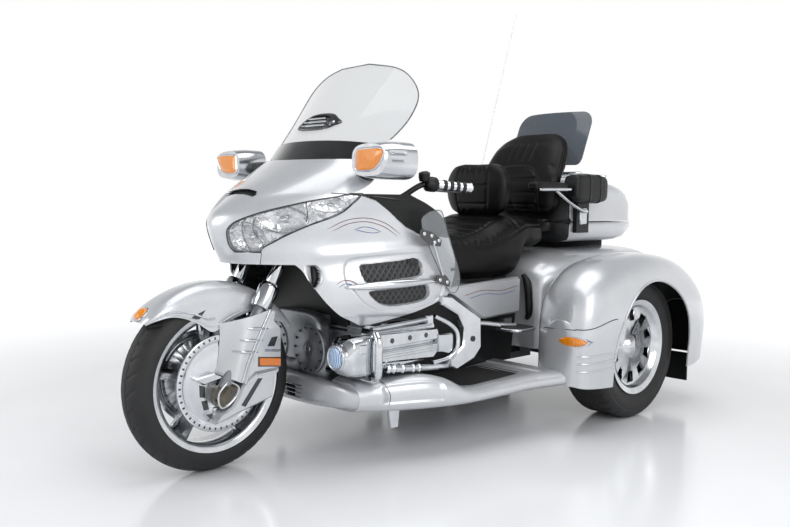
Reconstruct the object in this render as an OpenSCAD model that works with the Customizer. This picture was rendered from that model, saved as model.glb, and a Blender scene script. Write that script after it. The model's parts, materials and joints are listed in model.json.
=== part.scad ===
// Touring trike: a flat-six touring motorcycle with a two-wheel rear axle and body.
// Sizes in millimetres. +Z up, nose toward -Y, the rider's left toward +X.
// Every y below is measured back from the front axle and moved to the middle at the end.

/* [Overall] */
// distance between front and rear axles
wheelbase = 1779; // [1760:1800]
// rearmost face of the bumper behind the front axle
tail_y = 2344; // [2340:2350]

/* [Front wheel] */
// outer radius of the front tyre
front_tyre_r = 316; // [312:320]
// section width of the front tyre
front_tyre_w = 130; // [124:132]
// radius of the front rim seat
front_seat_r = 232; // [228:234]
// radius of the front axle
front_axle_r = 12; // [10:14]

/* [Rear wheels] */
// outer radius of the rear tyres
rear_tyre_r = 313; // [308:316]
// section width of the rear tyres
rear_tyre_w = 205; // [195:210]
// radius of the rear rim seat
rear_seat_r = 194; // [188:196]
// middle of each rear wheel from the centre plane
rear_wheel_x = 525; // [520:530]
// radius of the rear stub axle
rear_axle_r = 24; // [20:28]

/* [Steering] */
// rake of the steering axis from the vertical
rake = 29.25; // [28:0.25:30]
// distance of the steering axis behind the fork legs
fork_offset = 59; // [55:62]
// half the distance between the fork legs
leg_x = 105; // [103:108]
// radius of the lower fork legs
leg_r = 30; // [28:30]
// radius of the steering stem
stem_r = 18; // [16:20]

/* [Hinges and plate] */
// radius of the hatch hinge pins
hatch_pin_r = 4; // [3.5:0.5:4.5]
// radius of the trunk hinge pins
lid_pin_r = 5; // [4:0.5:5.5]
// radius of the two plate screw holes in the hatch
plate_hole_r = 3.3; // [3:0.1:3.5]

/* [Clearances] */
// running clearance of shafts in their bores
run = 0.05; // [0.03:0.01:0.08]
// gap between neighbouring panels
gap = 0.3; // [0.2:0.1:0.5]

/* [Hidden] */
shell = 5;
// the y below are drawn for this wheelbase; between two of them the machine stretches with it
drawn_wheelbase = 1779;
stretch_from = 900;
stretch_to = 1288;
function lay(y) = y + (wheelbase - drawn_wheelbase)
  * min(1, max(0, (y - stretch_from) / (stretch_to - stretch_from)));
function laid(p) = [p[0], lay(p[1]), p[2]];
mid_y = (lay(tail_y) - front_tyre_r) / 2;
// rubber to body in the wheel wells, and to the skirt's arch
well_gap = 33;
arch_gap = 1;
// half spacing of the plate holes, and their height
plate_half = 73;
plate_z = 470;
// axis of the trunk lid and of the hatch: y, z
lid_hinge = [1690, 850];
hatch_hinge = [2330, 646];
// radius of the fog lamps
fog_r = 37;
// radius of the grip tube
bar_r = 11;
// height and half width of the rim flanges, front and rear
front_flange = 11;
front_rim_half = 46;
rear_flange = 14;
rear_rim_half = 82;

// Smooth curve through the rows of a table: column 0 is the key, column j the value.
function seg(t, k, i) = (i >= len(t) - 2 || k < t[i + 1][0]) ? i : seg(t, k, i + 1);
function slope(t, i, j) =
  let (a = max(i - 1, 0), b = min(i + 1, len(t) - 1))
  (t[b][j] - t[a][j]) / (t[b][0] - t[a][0]);
function at(t, k, j) =
  let (i = seg(t, k, 0), h = t[i + 1][0] - t[i][0], u = (k - t[i][0]) / h,
    m0 = slope(t, i, j) * h, m1 = slope(t, i + 1, j) * h,
    d = t[i + 1][j] - t[i][j])
  t[i][j] + u * (m0 + u * ((3 * d - 2 * m0 - m1) + u * (m0 + m1 - 2 * d)));
function spread(a, b, n) = [for (i = [0:n]) a + (b - a) * i / n];
function pw(v, p) = sign(v) * pow(abs(v), p);

// Closed loft through rings of equal length; ends closed by fans.
module skin(rings, flip = false) {
  n = len(rings);
  m = len(rings[0]);
  one = [for (i = [0:m - 1]) 1];
  c0 = (one * rings[0]) / m;
  c1 = (one * rings[n - 1]) / m;
  pts = concat([for (r = rings) each r], [c0, c1]);
  side = [for (i = [0:n - 2], j = [0:m - 1]) let (k = (j + 1) % m)
    each [[i * m + j, i * m + k, (i + 1) * m + k], [i * m + j, (i + 1) * m + k, (i + 1) * m + j]]];
  cap0 = [for (j = [0:m - 1]) [n * m, (j + 1) % m, j]];
  cap1 = [for (j = [0:m - 1]) [n * m + 1, (n - 1) * m + j, (n - 1) * m + (j + 1) % m]];
  all = concat(side, cap0, cap1);
  polyhedron(pts, flip ? [for (f = all) [f[2], f[1], f[0]]] : all);
}

// Thick sheet between an outer and an inner grid of points.
module sheet(a, b, flip = false) {
  n = len(a);
  m = len(a[0]);
  k = n * m;
  pts = concat([for (r = a) each r], [for (r = b) each r]);
  top = [for (i = [0:n - 2], j = [0:m - 2]) let (p = i * m + j)
    each [[p, p + 1, p + m + 1], [p, p + m + 1, p + m]]];
  low = [for (f = top) [f[2] + k, f[1] + k, f[0] + k]];
  rim = concat([for (j = [0:m - 2]) j], [for (i = [0:n - 2]) i * m + m - 1],
    [for (j = [m - 1:-1:1]) (n - 1) * m + j], [for (i = [n - 1:-1:1]) i * m]);
  edge = [for (i = [0:len(rim) - 1]) let (p = rim[i], q = rim[(i + 1) % len(rim)])
    each [[q, p, p + k], [q, p + k, q + k]]];
  all = concat(top, low, edge);
  polyhedron(pts, flip ? all : [for (f = all) [f[2], f[1], f[0]]]);
}

// Superellipse ring in the x-z plane at y, in the x-y plane at z, and in the y-z plane at x.
function ring_y(y, cx, w, z0, z1, n, m) = [for (i = [0:m - 1]) let (a = 360 * i / m)
  [cx + w * pw(cos(a), 2 / n), lay(y), (z0 + z1) / 2 + (z1 - z0) / 2 * pw(sin(a), 2 / n)]];
function ring_z(z, cx, w, y0, y1, n, m) = [for (i = [0:m - 1]) let (a = 360 * i / m)
  [cx + w * pw(cos(a), 2 / n), lay((y0 + y1) / 2 + (y1 - y0) / 2 * pw(sin(a), 2 / n)), z]];
function ring_x(x, y0, y1, z0, z1, n, m) = [for (i = [0:m - 1]) let (a = 360 * i / m)
  [x, lay((y0 + y1) / 2 + (y1 - y0) / 2 * pw(cos(a), 2 / n)),
    (z0 + z1) / 2 + (z1 - z0) / 2 * pw(sin(a), 2 / n)]];

module both() {
  children();
  mirror([1, 0, 0]) children();
}
module bar(a, b, r) {
  d = laid(b) - laid(a);
  translate(laid(a)) rotate([0, acos(d[2] / norm(d)), atan2(d[1], d[0])])
    cylinder(r = r, h = norm(d), $fn = 48);
}
// Bent tube: a smooth curve through the points, keyed by length along them.
function unit(v) = v / norm(v);
function run_to(p, i) = i == 0 ? 0 : run_to(p, i - 1) + norm(p[i] - p[i - 1]);
function spot(t, u) = [at(t, u, 1), at(t, u, 2), at(t, u, 3)];
function tube_ring(c, t, r, ref, n) = let (e = unit(cross(t, ref)), f = cross(e, t))
  [for (i = [0:n - 1]) c + r * (cos(360 * i / n) * e + sin(360 * i / n) * f)];
function heading(t, u, last) = unit(spot(t, min(u + 0.1, last)) - spot(t, max(u - 0.1, 0)));
module tube(points, r, ref = [0, 0, 1], k = 3, n = 8) {
  p = [for (q = points) laid(q)];
  t = [for (i = [0:len(p) - 1]) [run_to(p, i), each p[i]]];
  last = t[len(p) - 1][0];
  us = [for (i = [0:len(p) - 2], j = [0:k - 1]) t[i][0] + (t[i + 1][0] - t[i][0]) * j / k, last];
  skin([for (u = us) tube_ring(spot(t, u), heading(t, u, last), r, ref, n)]);
}
module box(x0, x1, y0, y1, z0, z1)
  translate([x0, lay(y0), z0]) cube([x1 - x0, lay(y1) - lay(y0), z1 - z0]);
module across(r, x0, x1, fn = 96)
  translate([x0, 0, 0]) rotate([0, 90, 0]) cylinder(r = r, h = x1 - x0, $fn = fn);
module on_front_axle() translate([0, 0, front_tyre_r]) children();
module on_rear_axle() translate([0, wheelbase, rear_tyre_r]) children();
module along_fork() on_front_axle() rotate([-rake, 0, 0]) children();

// Upper fairing: for each height the plan is a superellipse from the nose to the rear edge.
// z, nose y, rear y, half width, exponent,
// half width of the nose panel, front edge of the side panel, rear edge of the side panel
fair = [
  [502, 166, 672, 366, 2.0, 0, 315, 446],
  [516, 148, 698, 378, 2.0, 0, 312, 506],
  [540, 120, 735, 396, 2.0, 0, 303, 610],
  [570, 105, 752, 407, 1.95, 0, 290, 706],
  [600, 95, 765, 414, 1.9, 0, 276, 765],
  [660, 80, 785, 420, 1.8, 0, 246, 785],
  [718, 64, 795, 416, 1.7, 128, 210, 795],
  [760, 40, 790, 408, 1.65, 66, 140, 790],
  [800, 20, 782, 402, 1.6, 56, 176, 782],
  [851, 9, 768, 394, 1.65, 74, 242, 768],
  [890, 24, 752, 386, 1.75, 138, 292, 752],
  [930, 70, 690, 376, 1.9, 232, 318, 690],
  [964, 120, 614, 362, 2.0, 314, 330, 614],
  [1030, 242, 506, 326, 2.1, 326, 326, 506],
  [1086, 340, 470, 268, 2.2, 268, 268, 470]];
function fair_pt(z, a, d) =
  let (yn = at(fair, z, 1) + d, yr = at(fair, z, 2), w = at(fair, z, 3) - d, n = at(fair, z, 4))
  [w * pw(sin(a), 2 / n), yr - (yr - yn) * pow(max(cos(a), 0), 2 / n), z];
function fair_end(z) = let (yn = at(fair, z, 1), yr = at(fair, z, 2))
  acos(pow(max(0, (yr - at(fair, z, 7)) / (yr - yn)), at(fair, z, 4) / 2));
// The chin is full width between its foot and the lamps, and the side panel meets it there.
chin_z = 718;
lamp_z = 760;
step_z = 0.5;
chin_half = 128;
chin_flare = 0.27;
function nose_half(z) = z < lamp_z ? chin_half + (z - chin_z) * chin_flare : at(fair, z, 5);
function side_front(z) = z >= chin_z && z < lamp_z ? nose_half(z) + 2 * gap : at(fair, z, 6);
function fair_a(z, x) = asin(min(1, pow(min(1, x / at(fair, z, 3)), at(fair, z, 4) / 2)));

// Chassis
module spar() hull() {
  box(8, 48, 385, 410, 800, 880);
  box(100, 140, 800, 830, 560, 650);
}
module frame() color("DimGray") difference() {
  union() {
    along_fork() translate([0, fork_offset, 560]) cylinder(r = 38, h = 140, $fn = 64);
    both() {
      spar();
      box(100, 140, 800, 900, 225, 650);
      box(100, 140, 384 + gap, 1640, 225, 255);
      box(100, 140, 850, 1720, 575, 610);
      box(100, 140, 1560, 1640, 225, 610);
      box(140, 200, 480, 530, 226, 254);
      box(140, 200, 950, 1000, 226, 254);
      box(140, 200, 1240, 1290, 226, 254);
      box(140, 240, 1040, 1070, 578, 606);
      box(140, 240, 1370, 1400, 578, 606);
    }
    for (y = [400, 930, 1590]) box(-100, 100, y, y + 35, 228, 252);
    for (y = [870, 1200, 1600]) box(-100, 100, y, y + 35, 580, 605);
  }
  along_fork() translate([0, fork_offset, 540]) cylinder(r = stem_r + run, h = 180, $fn = 64);
}

module engine_block() color("SlateGray") difference() {
  union() {
    box(-140, 140, 400, 780, 255, 520);
    box(-110, 110, 440, 740, 520, 560);
  }
  for (y = [400, 780]) translate([0, y, 255]) rotate([45, 0, 0]) cube([300, 40, 40], center = true);
}

module cylinder_heads() color("Silver") both() difference() {
  union() {
    box(140, 330, 425, 712, 372, 494);
    translate([330, 420, 366]) cube([50, 298, 134]);
    hull() {
      box(379, 381, 420, 718, 366, 500);
      box(402, 404, 436, 702, 382, 484);
    }
  }
  for (y = [486, 569, 652]) translate([390, y, 458]) rotate([0, 90, 0]) cylinder(r = 14, h = 40, $fn = 48);
  for (z = [392, 408, 424, 440, 456, 472]) box(150, 322, 410, 730, z, z + 7);
  for (z = [390, 402, 414, 430]) box(398, 410, 430, 708, z, z + 5);
}

module engine_front_cover() color("Gainsboro") {
  hull() {
    translate([0, 400, 440]) rotate([90, 0, 0]) cylinder(r = 92, h = 46, $fn = 48);
    both() translate([96, 400, 430]) rotate([90, 0, 0]) cylinder(r = 66, h = 46, $fn = 48);
  }
  translate([0, 356, 440]) rotate([90, 0, 0]) {
    cylinder(r = 72, h = 8, $fn = 64);
    cylinder(r = 26, h = 14, $fn = 48);
    for (i = [0:7]) rotate(45 * i) translate([58, 0, 0]) cylinder(r = 6, h = 13, $fn = 24);
  }
}

// y, half width, low z, high z
cowl = [[326, 112, 208, 268], [332, 168, 200, 288], [346, 236, 195, 298], [364, 306, 193, 298],
  [384, 352, 192, 292]];
module lower_cowl() color("Gainsboro") difference() {
  skin([for (y = [326, 332, 346, 364, 384])
    ring_y(y, 0, at(cowl, y, 1), at(cowl, y, 2), at(cowl, y, 3), 3.4, 24)]);
  box(-95, 95, 300, 344, 216, 262);
}

module lamp_cowls() color("Silver") both() difference() {
  skin([for (y = [262, 274, 300, 350, 419.7]) let (u = (y - 262) / 158)
    ring_y(y, 318 + 26 * u, 46 + 16 * sqrt(u), 366 - 28 * sqrt(u), 452 + 26 * sqrt(u), 2.6, 18)]);
  translate([320, 250, 409]) rotate([-90, 0, 0]) cylinder(r = fog_r, h = 42, $fn = 48);
}
module fog_lamps() color("LightBlue") both() translate([320, 270, 409]) rotate([-90, 0, 0]) {
  cylinder(r = fog_r - gap, h = 22 - gap, $fn = 48);
}

module crash_bars() color("LightGray") both() {
  tube([[408, 410, 482], [425, 404, 462], [430, 402, 420], [425, 404, 346], [392, 414, 322],
    [350, 416, 320], [140 + gap, 416, 320]], 14, [0, 1, 0]);
}

module exhaust() color("LightGray") both() {
  tube([[262, 470, 372 - gap], [262, 470, 346], [182, 590, 332], [171, 660, 300], [170, 760, 286]],
    24, [1, 0, 0]);
  bar([170, 740, 286], [170, 1230, 286], 28.5);
}

// y, outer x, low z, high z
board = [[385, 352, 193, 292], [470, 404, 191, 302], [608, 470, 190, 304], [700, 500, 190, 280],
  [800, 516, 190, 256], [1000, 524, 190, 252], [1150, 540, 193, 256], [1286, 590, 200, 262]];
function board_ring(y) = let (xo = at(board, y, 1), z0 = at(board, y, 2), z1 = at(board, y, 3), h = z1 - z0)
  [[200, y, z0 + 8], [212, y, z0], [xo - 90, y, z0], [xo - 34, y, z0 + 0.04 * h], [xo - 8, y, z0 + 0.22 * h],
   [xo, y, z0 + 0.45 * h], [xo - 6, y, z0 + 0.72 * h], [xo - 26, y, z0 + 0.92 * h], [xo - 52, y, z1],
   [xo - 90, y, z1], [212, y, z1], [200, y, z1 - 8]];
function laid_all(ring) = [for (p = ring) laid(p)];
module running_boards() color("Gainsboro") both() difference() {
  skin([for (y = [385, 420, 470, 540, 608, 660, 720, 800, 1150, 1286]) laid_all(board_ring(y))]);
  box(214, 452, 740, 1240, 238, 330);
}

lamp_rows = [lamp_z, 780, 800, 825, 851, 890, 930, 964];
chin_rows = [chin_z, 738, lamp_z - step_z];
function nose_pt(z, s, d) = let (p = fair_pt(z, fair_a(z, nose_half(z)) * abs(s), d))
  [sign(s) * p[0], p[1], p[2]];
module nose_fairing() color("Gainsboro") {
  zs = concat(chin_rows, lamp_rows, [998, 1030, 1086]);
  sheet([for (z = zs) [for (s = spread(-1, 1, 12)) nose_pt(z, s, 0)]],
    [for (z = zs) [for (s = spread(-1, 1, 12)) nose_pt(z, s, shell)]]);
}

side_rows = concat([502, 516, 540, 570, 600, 660, chin_z - step_z], chin_rows, lamp_rows);
function side_row(z, m, d) = [for (a = spread(fair_a(z, side_front(z)), fair_end(z), m)) fair_pt(z, a, d)];
module side_panel(zs, m = 9) sheet([for (z = zs) side_row(z, m, 0)], [for (z = zs) side_row(z, m, shell)]);
// Outlines of the two vents, as y and z seen from the side
vents = [
  [[408, 713], [546, 725], [623, 731], [641, 703], [633, 673], [548, 665], [417, 655]],
  [[433, 619], [574, 631], [656, 637], [669, 605], [651, 583], [524, 571], [474, 581]]];
module seen_from_side(x, h) translate([x, 0, 0]) rotate([90, 0, 90]) linear_extrude(height = h) children();
module side_fairings() color("Gainsboro") both() difference() {
  side_panel(side_rows);
  for (v = vents) seen_from_side(250, 300) polygon(v);
}

function lens_row(z, d) = let (a0 = fair_a(z, at(fair, z, 5) + 2 * gap), a1 = fair_a(z, at(fair, z, 6) - 2 * gap))
  [for (a = spread(a0, a1, 5)) fair_pt(z, a, d)];
module headlights() color("WhiteSmoke") both()
  sheet([for (z = lamp_rows) lens_row(z, 1)], [for (z = lamp_rows) lens_row(z, 12)]);

// Windshield: z, half width, centre y, plan curvature per mm
glass = [[1088, 262, 352, 0.00125], [1130, 306, 386, 0.00122], [1171, 334, 420, 0.00118],
  [1250, 350, 486, 0.0011], [1331, 336, 554, 0.001], [1400, 276, 611, 0.0009], [1440, 196, 643, 0.0009], [1463, 70, 660, 0.0009]];
function glass_pt(z, s, d) = let (x = at(glass, z, 1) * s)
  [x, at(glass, z, 2) + at(glass, z, 3) * x * x + d, z + d * 0.2];
module windshield() color([0.8, 0.85, 0.9, 0.35]) {
  zs = [1092, 1130, 1171, 1250, 1331, 1370, 1400, 1425, 1445, 1457, 1463];
  sheet([for (z = zs) [for (s = spread(-1, 1, 10)) glass_pt(z, s, 0)]],
    [for (z = zs) [for (s = spread(-1, 1, 10)) glass_pt(z, s, shell)]]);
}
// The dark band over the screen's foot is tallest in the middle.
band_low = 1087.6;
band_high = 1158;
band_fall = 0.3;
function band_pt(u, s, d) =
  glass_pt(band_low + (band_high - band_low) * u * (1 - band_fall * pow(abs(s), 3)), s, d);
module windshield_garnish() color("Black")
  sheet([for (u = spread(0, 1, 3)) [for (s = spread(-0.97, 0.97, 10)) band_pt(u, s, -6)]],
    [for (u = spread(0, 1, 3)) [for (s = spread(-0.97, 0.97, 10)) band_pt(u, s, -0.8)]]);

module mirrors() color("Silver") {
  mirror_arms();
  both() mirror_shell();
}
module mirror_shell() difference() {
  skin([for (i = [0:5]) let (u = i / 5, y = 348 + 132 * u, k = sqrt(1 - pow(1 - min(1, 0.28 + u * 1.1), 2)))
    ring_y(y, 424 + 14 * u, 62 + 28 * k, 1046 - 34 * k, 1106 + 34 * k, 3, 20)]);
  box(330, 620, 340, 362, 1043, 1111);
}
module mirror_arms() difference() {
  both() box(200, 372, 410, 452, 1052, 1082);
  fair_solid(3 * gap);
}
module mirror_lamps() color("Orange") both() {
  skin([for (y = [345, 350, 362 - gap]) let (in = y < 346 ? 8 : 0)
    ring_y(y, 428, 66 - in, 1046 + in, 1108 - in, 4, 20)]);
}

module fairing_stay() color("DimGray") both() difference() {
  box(60, 384, 600, 630, 715, 740);
  spar();
  side_panel([for (z = side_rows) if (z > 650 && z < lamp_z) z]);
}

// Solid inside of the upper fairing, grown by d, for cutting what sits on it.
module fair_solid(d) skin([for (z = [990, 1030, 1060, 1086]) [for (s = spread(-1, 1, 16))
  let (q = fair_pt(z, 90 * abs(s), -d)) [sign(s) * q[0], q[1], q[2]]]], true);

// y, half width, low z, high z
dash = [[446, 176, 1050, 1092], [458, 240, 1044, 1100], [472, 267.9, 1042, 1104], [540, 272, 1042, 1110],
  [600, 262, 1044, 1100], [640, 220, 1048, 1086]];
module inner_fairing() color("Black") {
  skin([for (y = [446, 452, 458, 472, 540, 600, 640])
    ring_y(y, 0, at(dash, y, 1), at(dash, y, 2), at(dash, y, 3), 4, 24)]);
}

module radiators() color("Black") both() {
  box(300, 330, 470, 700, 560, 715 - gap);
}

// y, half width, low z, high z
tank = [[690, 110, 745, 850], [720, 150, 730, 872], [760, 172, 700, 880], [830, 188, 636, 874],
  [890, 188, 632, 858], [930, 172, 636, 834]];
module tank_cover() color("Gainsboro") difference() {
  skin([for (y = [690, 704, 720, 760, 795, 830, 890, 930])
    ring_y(y, 0, at(tank, y, 1), at(tank, y, 2), at(tank, y, 3), 2.6, 24)]);
  box(-300, 300, 780, 1000, 560, 650 + gap);
  both() spar();
}

// y, half width, low z, high z
cushion = [[935, 120, 660, 800], [960, 150, 640, 812], [1040, 190, 598, 806], [1140, 214, 592, 808],
  [1240, 232, 592, 828], [1330, 240, 592, 866], [1400, 242, 592, 884], [1430, 242, 640, 884],
  [1470, 240, 730, 882], [1540, 236, 731, 876], [1600, 224, 732, 872], [1616, 214, 735, 862]];
module seat() color([0.1, 0.1, 0.1]) difference() {
  ys = [935, 945, 960, 1040, 1140, 1240, 1330, 1400, 1430, 1450, 1470, 1540, 1600, 1616];
  skin([for (y = ys)
    ring_y(y, 0, at(cushion, y, 1), at(cushion, y, 2), at(cushion, y, 3), 4.5, 20)]);
  box(-300, 300, 900, 1440, 500, 610);
}

// z, front y, back y, half width
rest1 = [[884.6, 1372, 1440, 120], [910, 1362, 1446, 160], [980, 1352, 1450, 182], [1050, 1354, 1450, 176],
  [1100, 1368, 1446, 140], [1114, 1388, 1436, 96]];
module rider_backrest() color([0.1, 0.1, 0.1]) {
  skin([for (z = [884.6, 898, 910, 980, 1050, 1078, 1100, 1114])
    ring_z(z, 0, at(rest1, z, 3), at(rest1, z, 1), at(rest1, z, 2), 3.4, 20)], true);
}

// Domed panel: x, front y, back y, low z, high z
cover = [[240, 990, 1428, 440, 612], [252, 992, 1426, 442, 610], [259, 1004, 1414, 454, 598],
  [262, 1030, 1388, 480, 572]];
module side_covers() color("Gainsboro") both()
  skin([for (c = cover) ring_x(c[0], c[1], c[2], c[3], c[4], 4, 20)]);

// Fenders: y, inner x, outer x, low z, crown z above the top of the tyre
fender = [[1288, 470, 632, 270, -156], [1302, 440, 656, 258, -86], [1340, 408, 680, 240, -14],
  [1420, 386, 700, 214, 46], [1520, 376, 709, 200, 78], [1700, 370, 712, 190, 96], [1880, 370, 712, 190, 95], [2060, 372, 708, 200, 66],
  [2200, 378, 694, 225, 2], [2300, 390, 666, 262, -81], [2336, 412, 636, 300, -146]];
function crown_z(y) = 2 * rear_tyre_r + at(fender, y, 4);
function fender_ring(y) = let (xi = at(fender, y, 1), xo = at(fender, y, 2), zl = at(fender, y, 3),
    zc = crown_z(y), zs = zl + 0.5 * (zc - zl), xm = (xi + xo) / 2, w = (xo - xi) / 2)
  concat([[xo - 14, y, zl]], [for (i = [0:12]) let (a = 15 * i)
    [xm + w * pw(cos(a), 0.75), y, zs + (zc - zs) * pow(max(sin(a), 0), 0.8)]], [[xi, y, zl]]);
// y, half width, top z
hump = [[1442, 300, 610], [1456, 330, 650], [1490, 356, 680], [1540, 376, 700], [1665, 398, 722],
  [1950, 402, 727], [2240, 400, 728], [2310, 388, 716], [2334, 366, 690]];
hump_low = 300;
hump_spring = 520;
function hump_ring(y) = let (w = at(hump, y, 1), zt = at(hump, y, 2))
  concat([[w, y, hump_low]], [for (i = [0:12]) let (a = 15 * i)
    [w * pw(cos(a), 0.5), y, hump_spring + (zt - hump_spring) * pow(max(sin(a), 0), 0.42)]],
    [[-w, y, hump_low]]);
module hatch_axis() translate([0, lay(hatch_hinge[0]), hatch_hinge[1]]) children();
module trike_body() color("Gainsboro") {
  body_shell();
  both() {
    box(248, 268, 2306, 2338, 640, 660);
    hatch_axis() across(hatch_pin_r, 220, 268, 32);
  }
}
fender_rows = [1288, 1302, 1340, 1380, 1420, 1520, 1610, 1700, 1880, 1970, 2060, 2130, 2200, 2250, 2300, 2336];
well_r = rear_tyre_r + well_gap;
arch_r = rear_tyre_r + arch_gap;
module body_shell() difference() {
  union() {
    skin([for (y = [1442, 1456, 1490, 1540, 1665, 1950, 2240, 2310, 2334]) laid_all(hump_ring(y))]);
    both() skin([for (y = fender_rows) laid_all(fender_ring(y))]);
  }
  both() on_rear_axle() {
    across(well_r, 392, 652);
    box(392, 652, -well_r, well_r, -rear_tyre_r, 0);
    translate([0, 0, -16]) across(arch_r, 640, 760);
    box(640, 760, -arch_r, arch_r, -rear_tyre_r, -16);
  }
  box(-380, 380, 1500, 2020, 0, 480);
  on_rear_axle() across(56, -400, 400);
  box(-140 - gap, 140 + gap, 1400, 1720, 0, 610);
  box(-300, 300, 2060, 2400, 330, 640);
  box(-180, 180, 1790, 2210, 700, 800);
  box(-310, 310, 2320, 2400, 325, 662);
}
module body_hatch() color("Gainsboro") difference() {
  union() {
    box(-305, 305, 2325, 2336, 330, 640);
    hatch_axis() across(9, -243, 243, 32);
  }
  both() box(243, 273, 2300, 2360, 624, 660);
  hatch_axis() across(hatch_pin_r + run, -250, 250, 32);
  for (x = [-plate_half, plate_half]) translate([x, lay(2300), plate_z]) rotate([-90, 0, 0])
    cylinder(r = plate_hole_r, h = 60, $fn = 32);
}

module rear_axle() color("DimGray") difference() {
  union() {
    on_rear_axle() across(42, -430, 430);
    on_rear_axle() across(100, -110, 110);
    on_rear_axle() across(rear_axle_r, -560, 560);
    both() box(100, 140, 1640, 1770, 290, 336);
  }
}

// Lens on a fender's end face: x, half width, half height, end face y, depth, height above the face's middle
module end_lens(x, w, h, y, d, up) {
  mid = (at(fender, y, 3) + crown_z(y)) / 2 + up;
  skin([for (u = [0, 1]) let (in = 0.2 * h * u)
    ring_y(y + d * u, x, w - in, mid - h + in, mid + h - in, 5, 16)], d < 0);
}
module tail_lamps() color("Red") both() end_lens(535, 65, 30, 2336, 8, 20);
module marker_lamps() color("Orange") both() end_lens(586, 30, 20, 1288, -8, 30);
module mud_flaps() color("Black") both() {
  box(450, 620, 2230, 2238, 100, at(fender, 2230, 3) - gap);
}
module rear_bumper() color("Gainsboro") {
  box(-600, 600, 2336, tail_y, 300, 322);
}

// y, half width, low z, high z
case_low = [[1764, 236, 756, 846], [1800, 243, 752, 848], [1960, 244, 752, 848], [2100, 256, 752, 848],
  [2230, 256, 762, 848], [2316, 236, 800, 848]];
module trunk_body() color("Gainsboro") {
  trunk_tub();
  both() {
    box(133, 150, 1680, 1772, 806, 846);
    box(133, 150, 1680, 1700, 840, 860);
    lid_axis() across(lid_pin_r, 96, 150, 48);
  }
}
module trunk_tub() difference() {
  union() {
    skin([for (y = [1764, 1780, 1800, 1960, 2100, 2170, 2230, 2280, 2316])
      ring_y(y, 0, at(case_low, y, 1), at(case_low, y, 2), at(case_low, y, 3) + 60, 6, 24)]);
    box(-150, 150, 1800, 2200, 700, 760);
  }
  box(-400, 400, 1740, 2400, 848, 1000);
  box(-222, 222, 1782, 2270, 764, 900);
}
module lid_axis() translate([0, lay(lid_hinge[0]), lid_hinge[1]]) children();

// y, half width, high z
case_top = [[1764, 236, 1036], [1800, 243, 1052], [1960, 244, 1060], [2100, 250, 1056], [2230, 252, 1036],
  [2290, 244, 1000], [2318, 230, 930]];
lid_low = 700;
lid_wall = 14;
lid_power = 5;
function lid_top(x, y) = let (h = (at(case_top, y, 2) - lid_low) / 2)
  lid_low + h + h * pow(1 - pow(x / at(case_top, y, 1), lid_power), 1 / lid_power);
module trunk_lid() color("Gainsboro") difference() {
  union() {
    lid_shell();
    both() {
      box(100, 130, 1690, 1772, 854, 862);
      lid_axis() across(12, 100, 130, 48);
    }
  }
  lid_axis() across(lid_pin_r + run, -140, 140, 48);
}
module lid_shell() difference() {
  skin([for (y = [1764, 1780, 1800, 1960, 2100, 2170, 2230, 2265, 2290, 2318])
    ring_y(y, 0, at(case_top, y, 1), lid_low, at(case_top, y, 2), lid_power, 24)]);
  box(-400, 400, 1700, 2400, 600, 853);
  skin([for (y = [1776, 1800, 1960, 2100, 2270])
    ring_y(y, 0, at(case_top, y, 1) - lid_wall, lid_low, at(case_top, y, 2) - lid_wall, lid_power, 16)]);
}
rack_y = [1980, 2200];
rack_z = [1085, 1075];
rack_x = 120;
post_in = 10;
// the lid's flat facets lie up to 1 mm under its curve, so the posts' feet start a little below the curve
foot_gap = -0.5;
module luggage_rack() color("LightGray") {
  for (x = [-rack_x, 0, rack_x]) bar([x, rack_y[0], rack_z[0]], [x, rack_y[1], rack_z[1]], 7);
  for (i = [0, 1]) bar([-rack_x - 40, rack_y[i], rack_z[i]], [rack_x + 40, rack_y[i], rack_z[i]], 8);
  for (x = [-rack_x, rack_x], i = [0, 1]) let (y = rack_y[i] + post_in * (1 - 2 * i))
    bar([x, y, lid_top(rack_x, y) + foot_gap], [x, y, rack_z[i]], 7);
}
// z, front y, back y, half width
rest2 = [[896, 1660, 1752, 190], [920, 1650, 1760, 218], [1000, 1648, 1762.6, 232], [1046, 1656, 1763.4, 233],
  [1080, 1668, 1786, 232], [1160, 1712, 1830, 218], [1230, 1764, 1872, 176], [1270, 1806, 1886, 110]];
rest_power = 3.6;
function rest_back(x, z) = let (y0 = at(rest2, z, 1), y1 = at(rest2, z, 2))
  (y0 + y1) / 2 + (y1 - y0) / 2 * pow(1 - pow(x / at(rest2, z, 3), rest_power), 1 / rest_power);
module passenger_backrest() color([0.1, 0.1, 0.1])
  skin([for (z = [896, 908, 920, 1000, 1046, 1080, 1160, 1230, 1255, 1270])
    ring_z(z, 0, at(rest2, z, 3), at(rest2, z, 1), at(rest2, z, 2), rest_power, 20)], true);

// Smoked sheet behind the backrest, leaning back and bent a little round its sides
flap_low = 1120;
flap_half = 216;
flap_y = 1856;
flap_lean = 0.42;
flap_bend = 30;
flap_wall = 6;
flap_round = 1340;
flap_arm_z = 1130;
flap_arm_x = 105;
function flap_pt(z, s, d) = let (w = flap_half - 0.5 * max(0, z - flap_round))
  laid([w * s, flap_y + d + (z - flap_low) * flap_lean + flap_bend * s * s, z]);
module rear_deflector() color([0.3, 0.3, 0.3, 0.6]) {
  zs = [flap_low, 1230, flap_round, 1362, 1385];
  sheet([for (z = zs) [for (s = spread(-1, 1, 8)) flap_pt(z, s, 0)]],
    [for (z = zs) [for (s = spread(-1, 1, 8)) flap_pt(z, s, flap_wall)]]);
  both() box(flap_arm_x - 15, flap_arm_x + 15, rest_back(flap_arm_x - 15, flap_arm_z + 12) + gap, flap_y + 14,
    flap_arm_z, flap_arm_z + 12);
}

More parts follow.
